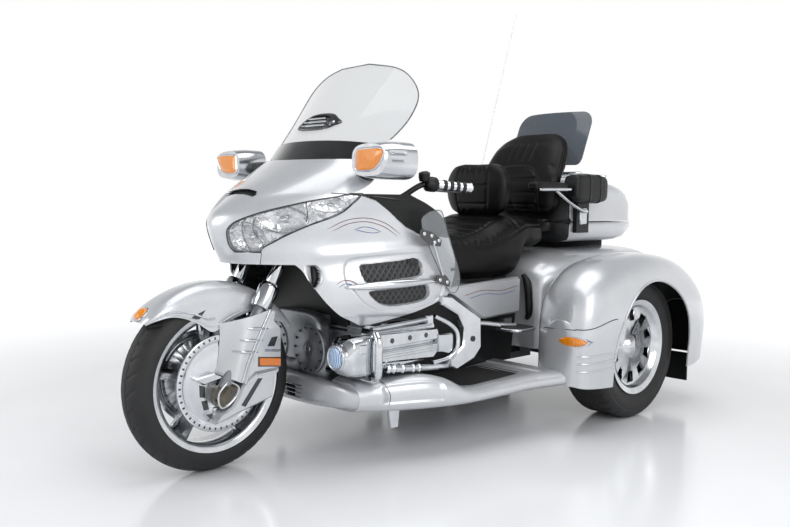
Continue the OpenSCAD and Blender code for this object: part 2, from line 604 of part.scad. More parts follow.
// y, half width, half height of the pods and of the arm pads
pod = [[1700, 26, 30], [1712, 38, 42], [1740, 44, 48], [1910, 44, 48], [1948, 37, 40], [1960, 27, 30]];
pod_x = 295;
pod_z = 1010;
pod_top = pod_z + pod[2][2];
pad = [[1420, 20, 10], [1428, 27, 18], [1450, 32, 22], [1640, 32, 22], [1662, 27, 18], [1670, 20, 10]];
pad_x = 288;
pad_z = 1012;
module bun(rows, x, z) skin([for (r = rows) ring_y(r[0], x, r[1], z - r[2], z + r[2], 3.2, 12)]);
module speaker_pods() color("Black") both() {
  bun(pod, pod_x, pod_z);
  box(256, 268, 1800, 1900, 800, pod_z - 20);
  box(244 + gap, 268, 1800, 1900, 800, 830);
}
module armrests() color("Black") both() {
  bun(pad, pad_x, pad_z);
  tube([[288, 1600, 996], [300, 1720, 930], [300, 1820, 902], [288, 1850, 900], [268 + gap, 1850, 900]], 8);
}
module antenna() color("White") {
  bar([-pod_x, 1760, pod_top + gap], [-pod_x, 1760, pod_top + 32], 12);
  bar([-pod_x, 1760, pod_top + 27], [-pod_x, 2019, 1915], 3);
}

step_plan = [[252, 1236], [262, 1226], [340, 1226], [366, 1240], [376, 1268], [376, 1334], [366, 1362],
  [340, 1376], [262, 1376], [252, 1366]];
module passenger_boards() color("Silver") both() {
  translate([0, 0, 400]) linear_extrude(height = 12) polygon([for (p = step_plan) [p[0], lay(p[1])]]);
  box(240, 262, 1290, 1340, 412, 441);
}
// Outline of a wing, as y and z seen from the side
wing = [[716, 660], [730, 644], [808, 640], [826, 654], [830, 700], [828, 850], [816, 886], [788, 900],
  [742, 892], [720, 874]];
module wind_wings() color([0.8, 0.85, 0.9, 0.4]) both() {
  seen_from_side(422, 4) polygon(wing);
  box(418.7, 422, 760, 780, 684, 696);
  box(394.7, 422, 744, 758, 845, 855);
}

// Steering
module fork() color("LightGray") {
  along_fork() {
    both() translate([leg_x, 0, -18]) cylinder(r = leg_r, h = 330, $fn = 64);
    both() translate([leg_x, 0, 300]) cylinder(r = 22, h = 440, $fn = 64);
    for (z = [524, 706]) difference() {
      hull() {
        both() translate([leg_x, 0, z]) cylinder(r = 36, h = 30, $fn = 32);
        translate([0, fork_offset, z]) cylinder(r = 42, h = 30, $fn = 32);
      }
      translate([0, fork_offset, z - 1]) cylinder(r = stem_r - 4, h = 32, $fn = 48);
    }
    translate([0, fork_offset, 530]) cylinder(r = stem_r, h = 200, $fn = 64);
  }
  on_front_axle() across(front_axle_r, -leg_x - leg_r, leg_x + leg_r);
}
module fork_covers() color("Gainsboro") along_fork() both() difference() {
  union() {
    skin([for (i = [0:3]) ring_z(40 + 80 * i, leg_x + 10, 34, 4 * i - 46, 40, 3, 20)], true);
    translate([leg_x, 0, 280]) cylinder(r = 40, h = 85, $fn = 64);
  }
  translate([leg_x, 0, -50]) cylinder(r = leg_r + gap, h = 362.3, $fn = 64);
  translate([leg_x, 0, 300]) cylinder(r = 22 + gap, h = 400, $fn = 64);
  box(0, leg_x - leg_r, -100, 100, 0, 400);
}

// angle ahead of the top, top over the tyre, edge over the tyre, share of the half width
guard = [[-60, 34, 12, 1], [-40, 32, -16, 1], [-15, 30, -90, 1], [0, 30, -128, 1], [12, 31, -132, 1],
  [24, 33, -80, 1], [36, 36, -20, 1], [46, 38, 14, 0.884], [50, 36, 24, 0.67]];
guard_half = leg_x - leg_r - gap;
function guard_pt(f, b, d) = let (rt = front_tyre_r + at(guard, f, 1) - d,
    re = front_tyre_r + at(guard, f, 2), w = guard_half * at(guard, f, 3) - d,
    x = w * pw(sin(b), 0.55), r = re + (rt - re) * pow(max(cos(b), 0), 0.55))
  [x, -r * sin(f), front_tyre_r + r * cos(f)];
module front_fender() color("Gainsboro") {
  fs = [-60, -40, -28, -15, -6, 0, 6, 12, 18, 24, 36, 46, 50];
  sheet([for (f = fs) [for (b = spread(-90, 90, 10)) guard_pt(f, b, 0)]],
    [for (f = fs) [for (b = spread(-90, 90, 10)) guard_pt(f, b, 3)]], true);
}
// Lens on the fender's tip: height over the tyre, inset
tip_lens = [[37.6, 0], [44, 2], [48, 10]];
module fender_lamp() color("Orange") on_front_axle() rotate([43, 0, 0])
  skin([for (r = tip_lens) ring_z(front_tyre_r + r[0], 0, 24 - r[1], r[1] - 40, 12 - r[1], 3, 20)], true);

module handlebar() color("DimGray") {
  along_fork() both() box(20, 70, fork_offset - 20, fork_offset + 30, 736, 775);
  both() tube([[45, 440, 948], [150, 520, 928], [243, 650, 946], [304, 750, 1006], [318, 780, 1003.6],
    [374, 900, 994]], bar_r);
}
module hand_grips() color("Black") both() difference() {
  bar([322, 788.6, 1002.9], [383, 919.3, 992.5], 18);
  bar([304, 750, 1006], [374, 900, 994], bar_r + gap);
}
module brake_covers() color("Silver") both() difference() {
  union() {
    on_front_axle() difference() {
      across(160, 69.5, leg_x - leg_r - gap);
      across(front_axle_r + 4, 60, 80);
      for (i = [0:39]) rotate([9 * i, 0, 0]) box(60, 80, -3, 3, 138, 152);
      for (i = [0:2]) rotate([120 * i + 30, 0, 0]) box(60, 80, -16, 16, 52, 62);
    }
    hull() {
      box(74, 128, 86, 190, 250, 366);
      box(82, 122, 78, 212, 262, 350);
    }
  }
  along_fork() translate([leg_x, 0, 40]) cylinder(r = leg_r + gap, h = 200, $fn = 64);
  rotate([8, 0, 0]) box(114, 140, 140, 222, 288, 300);
}

// Wheels: the rim's ring with its flanges, and the room for it in the tyre
rim_wall = 16;
bead_step = 4;
flange_wall = 8;
module spun(profile) rotate([0, 90, 0]) rotate_extrude($fn = 96) polygon(profile);
module rim_ring(seat, half, flange) spun([[seat - rim_wall, -half - bead_step],
  [seat + flange, -half - bead_step - flange_wall], [seat + flange, -half - bead_step], [seat - gap, -half],
  [seat - gap, half], [seat + flange, half + bead_step], [seat + flange, half + bead_step + flange_wall],
  [seat - rim_wall, half + bead_step]]);
module bead_room(seat, half, flange) let (r = seat + flange + gap, e = half + bead_step - gap)
  spun([[seat - rim_wall, -2 * half], [r, -2 * half], [r, -e], [seat, gap - half], [seat, half - gap], [r, e],
    [r, 2 * half], [seat - rim_wall, 2 * half]]);
module front_rim() color("Silver") on_front_axle() difference() {
  union() {
    rim_ring(front_seat_r, front_rim_half, front_flange);
    across(46, -64.5, 64.5);
    for (i = [0:4]) rotate([72 * i, 0, 0]) seen_from_side(-18, 36) polygon([[-24, 30], [24, 30],
      [26, 0.56 * front_seat_r], [34, front_seat_r - 10], [-34, front_seat_r - 10], [-26, 0.56 * front_seat_r]]);
  }
  across(front_axle_r + run, -80, 80);
}
module tyre(r, w, seat) rotate([0, 90, 0]) rotate_extrude($fn = 120) intersection() {
  translate([r - w / 2, 0]) circle(r = w / 2, $fn = 72);
  translate([seat, -w]) square([r, 2 * w]);
}
module front_tyre() color([0.1, 0.1, 0.1]) on_front_axle() difference() {
  tyre(front_tyre_r, front_tyre_w, front_seat_r);
  bead_room(front_seat_r, front_rim_half, front_flange);
}
module brake_discs() color("LightGray") on_front_axle() both() difference() {
  across(148, 60, 64.5);
  across(46 + gap, 59, 66);
  for (i = [0:35]) rotate([10 * i, 0, 0]) translate([0, 140, 0]) across(3.5, 59, 66, 16);
}

module rear_rim() color("Silver") difference() {
  union() {
    rim_ring(rear_seat_r, rear_rim_half, rear_flange);
    across(rear_seat_r - 6, 46, 60);
    across(52, -20, 76);
  }
  for (i = [0:9]) rotate([36 * i, 0, 0]) seen_from_side(40, 30) polygon([[-18, 0.58 * rear_seat_r],
    [18, 0.58 * rear_seat_r], [26, rear_seat_r - 30], [-26, rear_seat_r - 30]]);
  across(rear_axle_r + run, -100, 40);
}
// rounding of the rear tyres' shoulders
shoulder = 34;
module rear_tyre() color([0.1, 0.1, 0.1]) difference() {
  rotate([0, 90, 0]) rotate_extrude($fn = 120) union() {
    translate([rear_seat_r, 6 - rear_tyre_w / 2])
      square([rear_tyre_r - rear_seat_r - shoulder, rear_tyre_w - 12]);
    translate([rear_seat_r, shoulder - rear_tyre_w / 2])
      square([rear_tyre_r - rear_seat_r, rear_tyre_w - 2 * shoulder]);
    for (s = [-1, 1]) translate([rear_tyre_r - shoulder, s * (rear_tyre_w / 2 - shoulder)])
      circle(r = shoulder, $fn = 48);
  }
  bead_room(rear_seat_r, rear_rim_half, rear_flange);
}
module rear_rim_left() on_rear_axle() translate([rear_wheel_x, 0, 0]) rear_rim();
module rear_rim_right() mirror([1, 0, 0]) rear_rim_left();
module rear_tyre_left() on_rear_axle() translate([rear_wheel_x, 0, 0]) rear_tyre();
module rear_tyre_right() mirror([1, 0, 0]) rear_tyre_left();

// Output, with the middle of the length at y = 0
translate([0, -mid_y, 0]) {
  frame();
  engine_block();
  cylinder_heads();
  engine_front_cover();
  lower_cowl();
  lamp_cowls();
  fog_lamps();
  crash_bars();
  exhaust();
  running_boards();
  nose_fairing();
  side_fairings();
  headlights();
  windshield();
  windshield_garnish();
  mirrors();
  mirror_lamps();
  inner_fairing();
  radiators();
  fairing_stay();
  tank_cover();
  seat();
  rider_backrest();
  side_covers();
  trike_body();
  body_hatch();
  rear_axle();
  tail_lamps();
  marker_lamps();
  mud_flaps();
  rear_bumper();
  trunk_body();
  speaker_pods();
  armrests();
  antenna();
  passenger_boards();
  wind_wings();
  trunk_lid();
  luggage_rack();
  passenger_backrest();
  rear_deflector();
  fork();
  fork_covers();
  front_fender();
  fender_lamp();
  handlebar();
  hand_grips();
  brake_covers();
  front_rim();
  front_tyre();
  brake_discs();
  rear_rim_left();
  rear_tyre_left();
  rear_rim_right();
  rear_tyre_right();
}
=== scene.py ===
# %% [markdown]
# A touring trike: a flat-six motorcycle front with a full fairing, a leather saddle and trunk, and a
# two-wheel rear axle under a rounded body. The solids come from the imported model, which is a fixed
# frame in metres: +Z is up, the nose points along -Y, and the rider's left is +X. This lesson dresses
# that frame. Panels are surfaces worked out as whole arrays, and each finish starts from the real one.

# %% The frame
import json
import math

import bmesh
import bpy
import numpy as np
from mathutils import Matrix


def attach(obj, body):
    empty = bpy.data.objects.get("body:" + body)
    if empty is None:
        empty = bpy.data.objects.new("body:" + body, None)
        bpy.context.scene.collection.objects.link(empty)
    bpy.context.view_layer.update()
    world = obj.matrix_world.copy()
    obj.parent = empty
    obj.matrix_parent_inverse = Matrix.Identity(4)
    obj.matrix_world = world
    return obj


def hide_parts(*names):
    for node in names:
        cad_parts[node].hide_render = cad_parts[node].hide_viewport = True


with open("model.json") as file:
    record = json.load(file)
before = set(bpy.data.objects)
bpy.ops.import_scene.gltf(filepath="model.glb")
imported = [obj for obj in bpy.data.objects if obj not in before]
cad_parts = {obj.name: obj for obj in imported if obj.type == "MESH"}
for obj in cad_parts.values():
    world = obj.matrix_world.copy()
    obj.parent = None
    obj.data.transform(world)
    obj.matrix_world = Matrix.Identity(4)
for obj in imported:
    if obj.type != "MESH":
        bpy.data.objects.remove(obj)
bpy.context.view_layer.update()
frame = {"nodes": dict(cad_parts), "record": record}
METRE = 1000.0  # mm
MID = 1014.0  # mm from the front axle to the middle of the length

# %% [markdown]
# The photograph was taken from the front left, a little below eye level. A camera can be guessed by
# eye, but here its place was solved from the wheels' ellipses, so the script only repeats the result:
# where it stands, which way it looks, and a lens in millimetres on a 36 mm wide sensor.

# %% The camera
CAMERA_SPOT = np.array([2.514, -2.536, 0.950])
YAW, PITCH, ROLL = np.radians([46.25, 4.44, 0.77])
ahead = np.array([-math.sin(YAW) * math.cos(PITCH), math.cos(YAW) * math.cos(PITCH), -math.sin(PITCH)])
right = np.array([math.cos(YAW), math.sin(YAW), 0.0])
up = np.cross(right, ahead)
right, up = math.cos(ROLL) * right + math.sin(ROLL) * up, math.cos(ROLL) * up - math.sin(ROLL) * right
lens = bpy.data.cameras.new("photo_camera")
lens.lens, lens.sensor_width, lens.clip_end = 38.23, 36.0, 100.0
camera = bpy.data.objects.new("photo_camera", lens)
pose = np.eye(4)
pose[:3, 0], pose[:3, 1], pose[:3, 2], pose[:3, 3] = right, up, -ahead, CAMERA_SPOT
camera.matrix_world = Matrix(pose.tolist())
bpy.context.collection.objects.link(camera)
bpy.context.scene.camera = camera
bpy.context.scene.view_settings.view_transform = "Standard"
print("camera at", CAMERA_SPOT, "lens", lens.lens, "mm")

# %% [markdown]
# Colours are written as sRGB hex values, as one reads them off a paint chart, and one function turns
# them to the linear light that shaders count in. One small function adds a node with its settings:
# a plain value goes on the socket and another node's output is linked to it. A pattern's scale is a
# metre over its real size, so noise with a scale of METRE / 60.0 has blotches about 60 mm wide. Many
# finishes drift softly between two tints, so one function holds that recipe.


# %% Colour and nodes
def paint(code):
    """sRGB hex to linear RGBA: the piecewise power curve of the sRGB standard, applied per channel."""
    c = np.array([int(code[i : i + 2], 16) for i in (1, 3, 5)]) / 255.0
    c = np.where(c <= 0.04045, c / 12.92, ((c + 0.055) / 1.055) ** 2.4)
    return (*c.tolist(), 1.0)


def add(tree, kind, wires=None, stops=(), into=None, **settings):
    """A node of that kind: settings are its properties, wires its sockets by name or place, each a value
    or a socket, stops a ramp's (place, hex) pairs, and into the socket that takes its first output."""
    made = tree.nodes.new(kind)
    for key, value in settings.items():
        setattr(made, key, value)
    for key, value in (wires or {}).items():
        if isinstance(value, bpy.types.NodeSocket):
            tree.links.new(value, made.inputs[key])
        else:
            made.inputs[key].default_value = value
    while stops and len(made.color_ramp.elements) < len(stops):
        made.color_ramp.elements.new(0.5)
    for stop, (place, code) in zip(made.color_ramp.elements if stops else (), stops):
        stop.position, stop.color = place, paint(code)
    if into:
        tree.links.new(made.outputs[0], into)
    return made


def finish_named(name, **sockets):
    """A new material with one Principled shader: returns (material, tree, shader, object coordinates)."""
    made = bpy.data.materials.new(name)
    made.use_nodes = True
    tree = made.node_tree
    shader = tree.nodes["Principled BSDF"]
    for key, value in sockets.items():
        shader.inputs[key.replace("_", " ")].default_value = value
    where = add(tree, "ShaderNodeTexCoord").outputs["Object"]
    return made, tree, shader, where


finishes = {}


def clouded(slot, name, tints, blotch, detail=3.0, drives=None, **sockets):
    """A finish whose colour drifts between tints with noise about blotch mm wide. The same noise may drive
    one more socket, given as (socket, low, high)."""
    made, tree, shader, where = finish_named(name, **sockets)
    wires = {"Vector": where, "Scale": METRE / blotch, "Detail": detail, "Roughness": 0.55}
    cloud = add(tree, "ShaderNodeTexNoise", wires).outputs["Fac"]
    add(tree, "ShaderNodeValToRGB", {"Fac": cloud}, tints, shader.inputs["Base Color"])
    if drives:
        socket, low, high = drives
        wires = {"Value": cloud, "To Min": low, "To Max": high}
        add(tree, "ShaderNodeMapRange", wires, into=shader.inputs[socket])
    finishes[slot] = made


print("colour check, mid grey:", round(paint("#808080")[0], 3))

# %% [markdown]
# The body wears a silver metallic paint: aluminium flakes in lacquer under a clear coat. Flakes are
# a tenth of a millimetre, too fine for this picture, so they are drawn two millimetres wide and faint.
# The flakes make the colour swim a little, and the clear coat gives the sharp highlight on top.

# %% Silver metallic paint
made, tree, shader, where = finish_named(
    "silver_metallic_lacquer", Metallic=0.5, Coat_Weight=1.0, Coat_Roughness=0.03, Coat_IOR=1.5
)
flake = add(tree, "ShaderNodeTexVoronoi", {"Vector": where, "Scale": METRE / 2.0}).outputs["Color"]
cloud = add(
    tree, "ShaderNodeTexNoise", {"Vector": where, "Scale": METRE / 180.0, "Detail": 3.0, "Roughness": 0.55}
).outputs["Fac"]
shade = add(tree, "ShaderNodeMix", {
    0: 0.12,
    6: add(tree, "ShaderNodeValToRGB", {"Fac": cloud}, [(0.3, "#C9CBCE"), (0.7, "#D2D4D7")]).outputs["Color"],
    7: add(tree, "ShaderNodeValToRGB", {"Fac": flake}, [(0.2, "#8E9196"), (0.9, "#E2E4E8")]).outputs["Color"]
}, data_type="RGBA")
tree.links.new(shade.outputs[2], shader.inputs["Base Color"])
gloss = add(tree, "ShaderNodeMapRange", {"Value": cloud, "To Min": 0.30, "To Max": 0.38}).outputs["Result"]
tree.links.new(gloss, shader.inputs["Roughness"])
add(
    tree, "ShaderNodeBump", {"Height": flake, "Distance": 0.02 / METRE, "Strength": 0.15},
    into=shader.inputs["Normal"]
)
finishes["silver_paint"] = made
print("paint:", made.name)

# %% [markdown]
# Bright metals: chrome plate on covers and bars, cast aluminium on the engine and fork, the polished
# wheels and the ground steel of the brake discs. Chrome is mirror smooth with faint wiping marks.
# Castings keep the sand's grain, so they get a bump of a third of a millimetre. A metal keeps the
# default index and takes its tint from the base colour.

# %% Bright metals
clouded(
    "chrome", "chrome_plate", [(0.3, "#C0C3C7"), (0.7, "#D6D9DC")], 60.0, 5.0,
    drives=("Roughness", 0.04, 0.12), Metallic=1.0
)
clouded(
    "silver_trim", "bright_plated_plastic", [(0.3, "#C4C6CA"), (0.7, "#D6D8DB")], 90.0, 4.0,
    drives=("Roughness", 0.14, 0.24), Metallic=0.95
)

made, tree, shader, where = finish_named("cast_aluminium", Metallic=0.9)
grain = add(
    tree, "ShaderNodeTexNoise", {"Vector": where, "Scale": METRE / 2.5, "Detail": 4.0, "Roughness": 0.55}
).outputs["Fac"]
stain = add(
    tree, "ShaderNodeTexNoise", {"Vector": where, "Scale": METRE / 45.0, "Detail": 4.0, "Roughness": 0.55}
).outputs["Fac"]
add(
    tree, "ShaderNodeValToRGB", {"Fac": stain}, [(0.25, "#85888C"), (0.75, "#A3A6AA")],
    into=shader.inputs["Base Color"]
)
add(
    tree, "ShaderNodeMapRange", {"Value": stain, "To Min": 0.34, "To Max": 0.5},
    into=shader.inputs["Roughness"]
)
add(
    tree, "ShaderNodeBump", {"Height": grain, "Distance": 0.3 / METRE, "Strength": 0.5},
    into=shader.inputs["Normal"]
)
finishes["cast_alloy"] = made

clouded(
    "wheel_alloy", "polished_wheel_alloy", [(0.3, "#C2C4C7"), (0.7, "#D5D7DA")], 40.0, 5.0,
    drives=("Roughness", 0.14, 0.26), Metallic=1.0
)

made, tree, shader, where = finish_named("ground_disc_steel", Metallic=1.0)
split = add(tree, "ShaderNodeSeparateXYZ", {"Vector": add(
    tree, "ShaderNodeVectorMath", {0: where, 1: (0.0, 1.014, -0.316)}, operation="ADD"
).outputs["Vector"]})
flat = add(tree, "ShaderNodeCombineXYZ", {"Y": split.outputs["Y"], "Z": split.outputs["Z"]})
ring = add(tree, "ShaderNodeVectorMath", {0: flat.outputs["Vector"]}, operation="LENGTH").outputs["Value"]
turned = add(
    tree, "ShaderNodeTexNoise", {"W": ring, "Scale": 700.0, "Detail": 2.0}, noise_dimensions="1D"
).outputs["Fac"]
add(
    tree, "ShaderNodeValToRGB", {"Fac": turned}, [(0.3, "#A9ABAE"), (0.7, "#C6C8CB")],
    into=shader.inputs["Base Color"]
)
add(
    tree, "ShaderNodeMapRange", {"Value": turned, "To Min": 0.22, "To Max": 0.38},
    into=shader.inputs["Roughness"]
)
finishes["disc_steel"] = made
print("metals:", len(finishes))

# %% [markdown]
# Blacks: powder-coated steel on the frame, grained ABS on trim and dash, rubber on grips, the tyres'
# carbon rubber, and the vinyl-leather of the saddle. None is pure black: each scatters a little, and
# dust and grain move the roughness. Leather pebbles are about two millimetres, drawn as Voronoi cells.

# %% Blacks
made, tree, shader, where = finish_named("black_powder_coat", Metallic=0.0)
orange_peel = add(
    tree, "ShaderNodeTexNoise", {"Vector": where, "Scale": METRE / 1.5, "Detail": 2.0, "Roughness": 0.55}
).outputs["Fac"]
add(
    tree, "ShaderNodeValToRGB",
    {"Fac": add(
        tree, "ShaderNodeTexNoise", {"Vector": where, "Scale": METRE / 80.0, "Detail": 3.0, "Roughness": 0.55}
    ).outputs["Fac"]}, [(0.3, "#17181A"), (0.7, "#222326")], into=shader.inputs["Base Color"]
)
add(
    tree, "ShaderNodeMapRange", {"Value": orange_peel, "To Min": 0.34, "To Max": 0.48},
    into=shader.inputs["Roughness"]
)
add(
    tree, "ShaderNodeBump", {"Height": orange_peel, "Distance": 0.08 / METRE, "Strength": 0.4},
    into=shader.inputs["Normal"]
)
finishes["black_steel"] = made

made, tree, shader, where = finish_named("moulded_black_abs", Specular_IOR_Level=0.35)
pebble = add(tree, "ShaderNodeTexVoronoi", {"Vector": where, "Scale": 700.0}).outputs["Distance"]
add(
    tree, "ShaderNodeValToRGB",
    {"Fac": add(
        tree, "ShaderNodeTexNoise", {"Vector": where, "Scale": METRE / 70.0, "Detail": 3.0, "Roughness": 0.55}
    ).outputs["Fac"]}, [(0.3, "#08090A"), (0.7, "#101113")], into=shader.inputs["Base Color"]
)
add(
    tree, "ShaderNodeMapRange", {"Value": pebble, "To Min": 0.36, "To Max": 0.5},
    into=shader.inputs["Roughness"]
)
add(
    tree, "ShaderNodeBump", {"Height": pebble, "Distance": 0.12 / METRE, "Strength": 0.5},
    into=shader.inputs["Normal"]
)
finishes["black_plastic"] = made

made, tree, shader, where = finish_named("moulded_black_rubber")
grit = add(
    tree, "ShaderNodeTexNoise", {"Vector": where, "Scale": METRE / 1.2, "Detail": 3.0, "Roughness": 0.55}
).outputs["Fac"]
add(
    tree, "ShaderNodeValToRGB", {"Fac": grit}, [(0.3, "#0F0F10"), (0.7, "#1B1B1C")],
    into=shader.inputs["Base Color"]
)
add(
    tree, "ShaderNodeMapRange", {"Value": grit, "To Min": 0.55, "To Max": 0.7},
    into=shader.inputs["Roughness"]
)
add(
    tree, "ShaderNodeBump", {"Height": grit, "Distance": 0.15 / METRE, "Strength": 0.5},
    into=shader.inputs["Normal"]
)
finishes["black_rubber"] = made

made, tree, shader, where = finish_named("tyre_carbon_rubber")
grit = add(
    tree, "ShaderNodeTexNoise", {"Vector": where, "Scale": METRE / 2.0, "Detail": 4.0, "Roughness": 0.55}
).outputs["Fac"]
dust = add(
    tree, "ShaderNodeTexNoise", {"Vector": where, "Scale": METRE / 55.0, "Detail": 4.0, "Roughness": 0.55}
).outputs["Fac"]
add(
    tree, "ShaderNodeValToRGB", {"Fac": dust}, [(0.3, "#161617"), (0.75, "#262627")],
    into=shader.inputs["Base Color"]
)
add(
    tree, "ShaderNodeMapRange", {"Value": dust, "To Min": 0.5, "To Max": 0.68},
    into=shader.inputs["Roughness"]
)
add(
    tree, "ShaderNodeBump", {"Height": grit, "Distance": 0.2 / METRE, "Strength": 0.5},
    into=shader.inputs["Normal"]
)
finishes["tyre_rubber"] = made

made, tree, shader, where = finish_named("grained_black_leather", Specular_IOR_Level=0.22)
pebble = add(
    tree, "ShaderNodeTexVoronoi", {"Vector": where, "Scale": 420.0, "Randomness": 1.0},
    feature="DISTANCE_TO_EDGE"
).outputs["Distance"]
crease = add(
    tree, "ShaderNodeTexNoise", {"Vector": where, "Scale": METRE / 22.0, "Detail": 5.0, "Roughness": 0.6}
).outputs["Fac"]
add(
    tree, "ShaderNodeValToRGB", {"Fac": crease}, [(0.3, "#050506"), (0.75, "#0C0B0C")],
    into=shader.inputs["Base Color"]
)
add(
    tree, "ShaderNodeMapRange", {"Value": crease, "To Min": 0.3, "To Max": 0.46},
    into=shader.inputs["Roughness"]
)
add(tree, "ShaderNodeBump", {
    "Height": add(tree, "ShaderNodeMath", {0: pebble, 1: 0.12}, operation="MINIMUM").outputs["Value"],
    "Distance": 2.0 / METRE, "Strength": 0.35
}, into=shader.inputs["Normal"])
finishes["black_leather"] = made
print("with blacks:", len(finishes))

# %% [markdown]
# Clear and coloured plastics: the windshield and wing blades are polycarbonate, the deflector the
# same with smoke tint, the lenses moulded with fine ribs that spread the light. A thin sheet lets most
# light straight through, so an alpha below one shows it better than refraction, which a render this
# small would only make noisy. Lens ribs are three or four millimetres apart.

# %% Screens and lenses
clouded(
    "clear_screen", "clear_polycarbonate", [(0.3, "#A7ACB0"), (0.7, "#B4B9BD")], 240.0, 2.0,
    drives=("Alpha", 0.24, 0.30), Roughness=0.04, Specular_IOR_Level=0.6
)
clouded(
    "smoked_screen", "smoked_polycarbonate", [(0.3, "#3A424B"), (0.7, "#454E58")], 240.0, 2.0,
    drives=("Alpha", 0.78, 0.84), Roughness=0.05, Specular_IOR_Level=0.6
)

clouded(
    "lamp_glass", "clear_lamp_lens", [(0.3, "#D5D8DB"), (0.7, "#E4E6E8")], 120.0, 2.0,
    drives=("Alpha", 0.12, 0.18), Roughness=0.03, Specular_IOR_Level=0.6
)

for slot, name, deep, pale, rib in (
    ("fog_glass", "blue_fog_lens", "#5F86B8", "#CFE0F4", 4.0),
    ("amber_lens", "amber_moulded_lens", "#D9730A", "#F59A1F", 3.0),
    ("red_lens", "red_moulded_lens", "#8E0E0E", "#C41C17", 3.0)
):
    made, tree, shader, where = finish_named(name, Roughness=0.12, Coat_Weight=0.8, Coat_Roughness=0.04)
    ribs = add(tree, "ShaderNodeTexWave", {
        "Vector": where, "Scale": METRE / rib / 20.0 * math.pi, "Distortion": 0.0
    }, bands_direction="X").outputs["Fac"]
    add(
        tree, "ShaderNodeValToRGB", {"Fac": ribs}, [(0.1, deep), (0.9, pale)],
        into=shader.inputs["Base Color"]
    )
    add(
        tree, "ShaderNodeBump", {"Height": ribs, "Distance": 0.4 / METRE, "Strength": 0.4},
        into=shader.inputs["Normal"]
    )
    finishes[slot] = made

clouded("white_rod", "white_fibreglass_rod", [(0.3, "#DDDDDC"), (0.7, "#ECECEB")], 30.0, Roughness=0.3)
print("finishes:", len(finishes))

# %% [markdown]
# The room is plain: a pale, slightly glossy floor and a white background, with three soft lamps. The
# world is white where the camera, a mirror or glass looks at the horizon and greyer overhead, which
# gives bright metal something to show. It lights the object at a plain level. Far out the floor glows a
# little, so that it meets the background without a line.

# %% Room and light
world = bpy.data.worlds.new("pale_studio")
bpy.context.scene.world = world
world.use_nodes = True
tree = world.node_tree
tree.nodes.clear()
height = add(
    tree, "ShaderNodeSeparateXYZ", {"Vector": add(tree, "ShaderNodeTexCoord").outputs["Generated"]}
).outputs["Z"]
sky = add(
    tree, "ShaderNodeValToRGB",
    {"Fac": add(
        tree, "ShaderNodeMapRange", {"Value": height, "From Min": -0.2, "From Max": 1.0}
    ).outputs["Result"]}, [(0.0, "#FFFFFF"), (0.42, "#FFFFFF"), (0.62, "#A8AAAD"), (1.0, "#6F7174")]
).outputs["Color"]
seen = add(tree, "ShaderNodeLightPath")
direct = add(
    tree, "ShaderNodeMath", {0: seen.outputs["Is Camera Ray"], 1: seen.outputs["Is Glossy Ray"]},
    operation="MAXIMUM"
).outputs["Value"]
direct = add(
    tree, "ShaderNodeMath", {0: direct, 1: seen.outputs["Is Transmission Ray"]}, operation="MAXIMUM"
).outputs["Value"]
shown = add(tree, "ShaderNodeBackground", {"Color": sky, "Strength": 1.0}).outputs["Background"]
fill = add(tree, "ShaderNodeBackground", {"Color": paint("#F2F4F7"), "Strength": 0.55}).outputs["Background"]
mixed = add(tree, "ShaderNodeMixShader", {0: direct, 1: fill, 2: shown})
add(tree, "ShaderNodeOutputWorld", {"Surface": mixed.outputs["Shader"]})

floor_mesh = bpy.data.meshes.new("studio_floor")
floor_mesh.from_pydata([(-14, -14, 0), (14, -14, 0), (14, 14, 0), (-14, 14, 0)], [], [(0, 1, 2, 3)])
floor = bpy.data.objects.new("studio_floor", floor_mesh)
bpy.context.collection.objects.link(floor)
made, tree, shader, where = finish_named("pale_sealed_floor", Roughness=0.16, Specular_IOR_Level=0.45)
add(
    tree, "ShaderNodeValToRGB",
    {"Fac": add(tree, "ShaderNodeTexNoise", {
        "Vector": where, "Scale": METRE / 900.0, "Detail": 2.0, "Roughness": 0.55
    }).outputs["Fac"]}, [(0.3, "#E9EAEC"), (0.7, "#EEEFF1")], into=shader.inputs["Base Color"]
)
away = add(tree, "ShaderNodeVectorMath", {0: where}, operation="LENGTH").outputs["Value"]
glow = add(tree, "ShaderNodeMapRange", {
    "Value": away, "From Min": 1.9, "From Max": 4.6, "To Min": 0.0, "To Max": 0.5
}).outputs["Result"]
tree.links.new(glow, shader.inputs["Emission Strength"])
shader.inputs["Emission Color"].default_value = paint("#FFFFFF")
floor_mesh.materials.append(made)


def soft_lamp(name, spot, aim, size, watts):
    """A square soft lamp at a spot, turned so that its face looks at aim."""
    data = bpy.data.lights.new(name, "AREA")
    data.shape, data.size, data.energy = "SQUARE", size, watts
    lamp = bpy.data.objects.new(name, data)
    back = np.array(spot, float) - np.array(aim, float)
    back /= np.linalg.norm(back)
    side = np.cross((0.0, 1.0, 0.0) if abs(back[2]) > 0.9 else (0.0, 0.0, 1.0), back)
    side /= np.linalg.norm(side)
    turn = np.eye(4)
    turn[:3, 0], turn[:3, 1], turn[:3, 2], turn[:3, 3] = side, np.cross(back, side), back, spot
    lamp.matrix_world = Matrix(turn.tolist())
    bpy.context.collection.objects.link(lamp)


soft_lamp("overhead_softbox", (0.6, 0.0, 3.6), (0.0, 0.0, 0.6), 3.0, 60.0)
soft_lamp("left_softbox", (3.4, -1.0, 2.2), (0.2, 0.0, 0.7), 2.0, 45.0)
soft_lamp("front_softbox", (-1.2, -3.6, 1.9), (0.0, -0.5, 0.7), 1.8, 32.0)
print("room: one floor, three lamps")

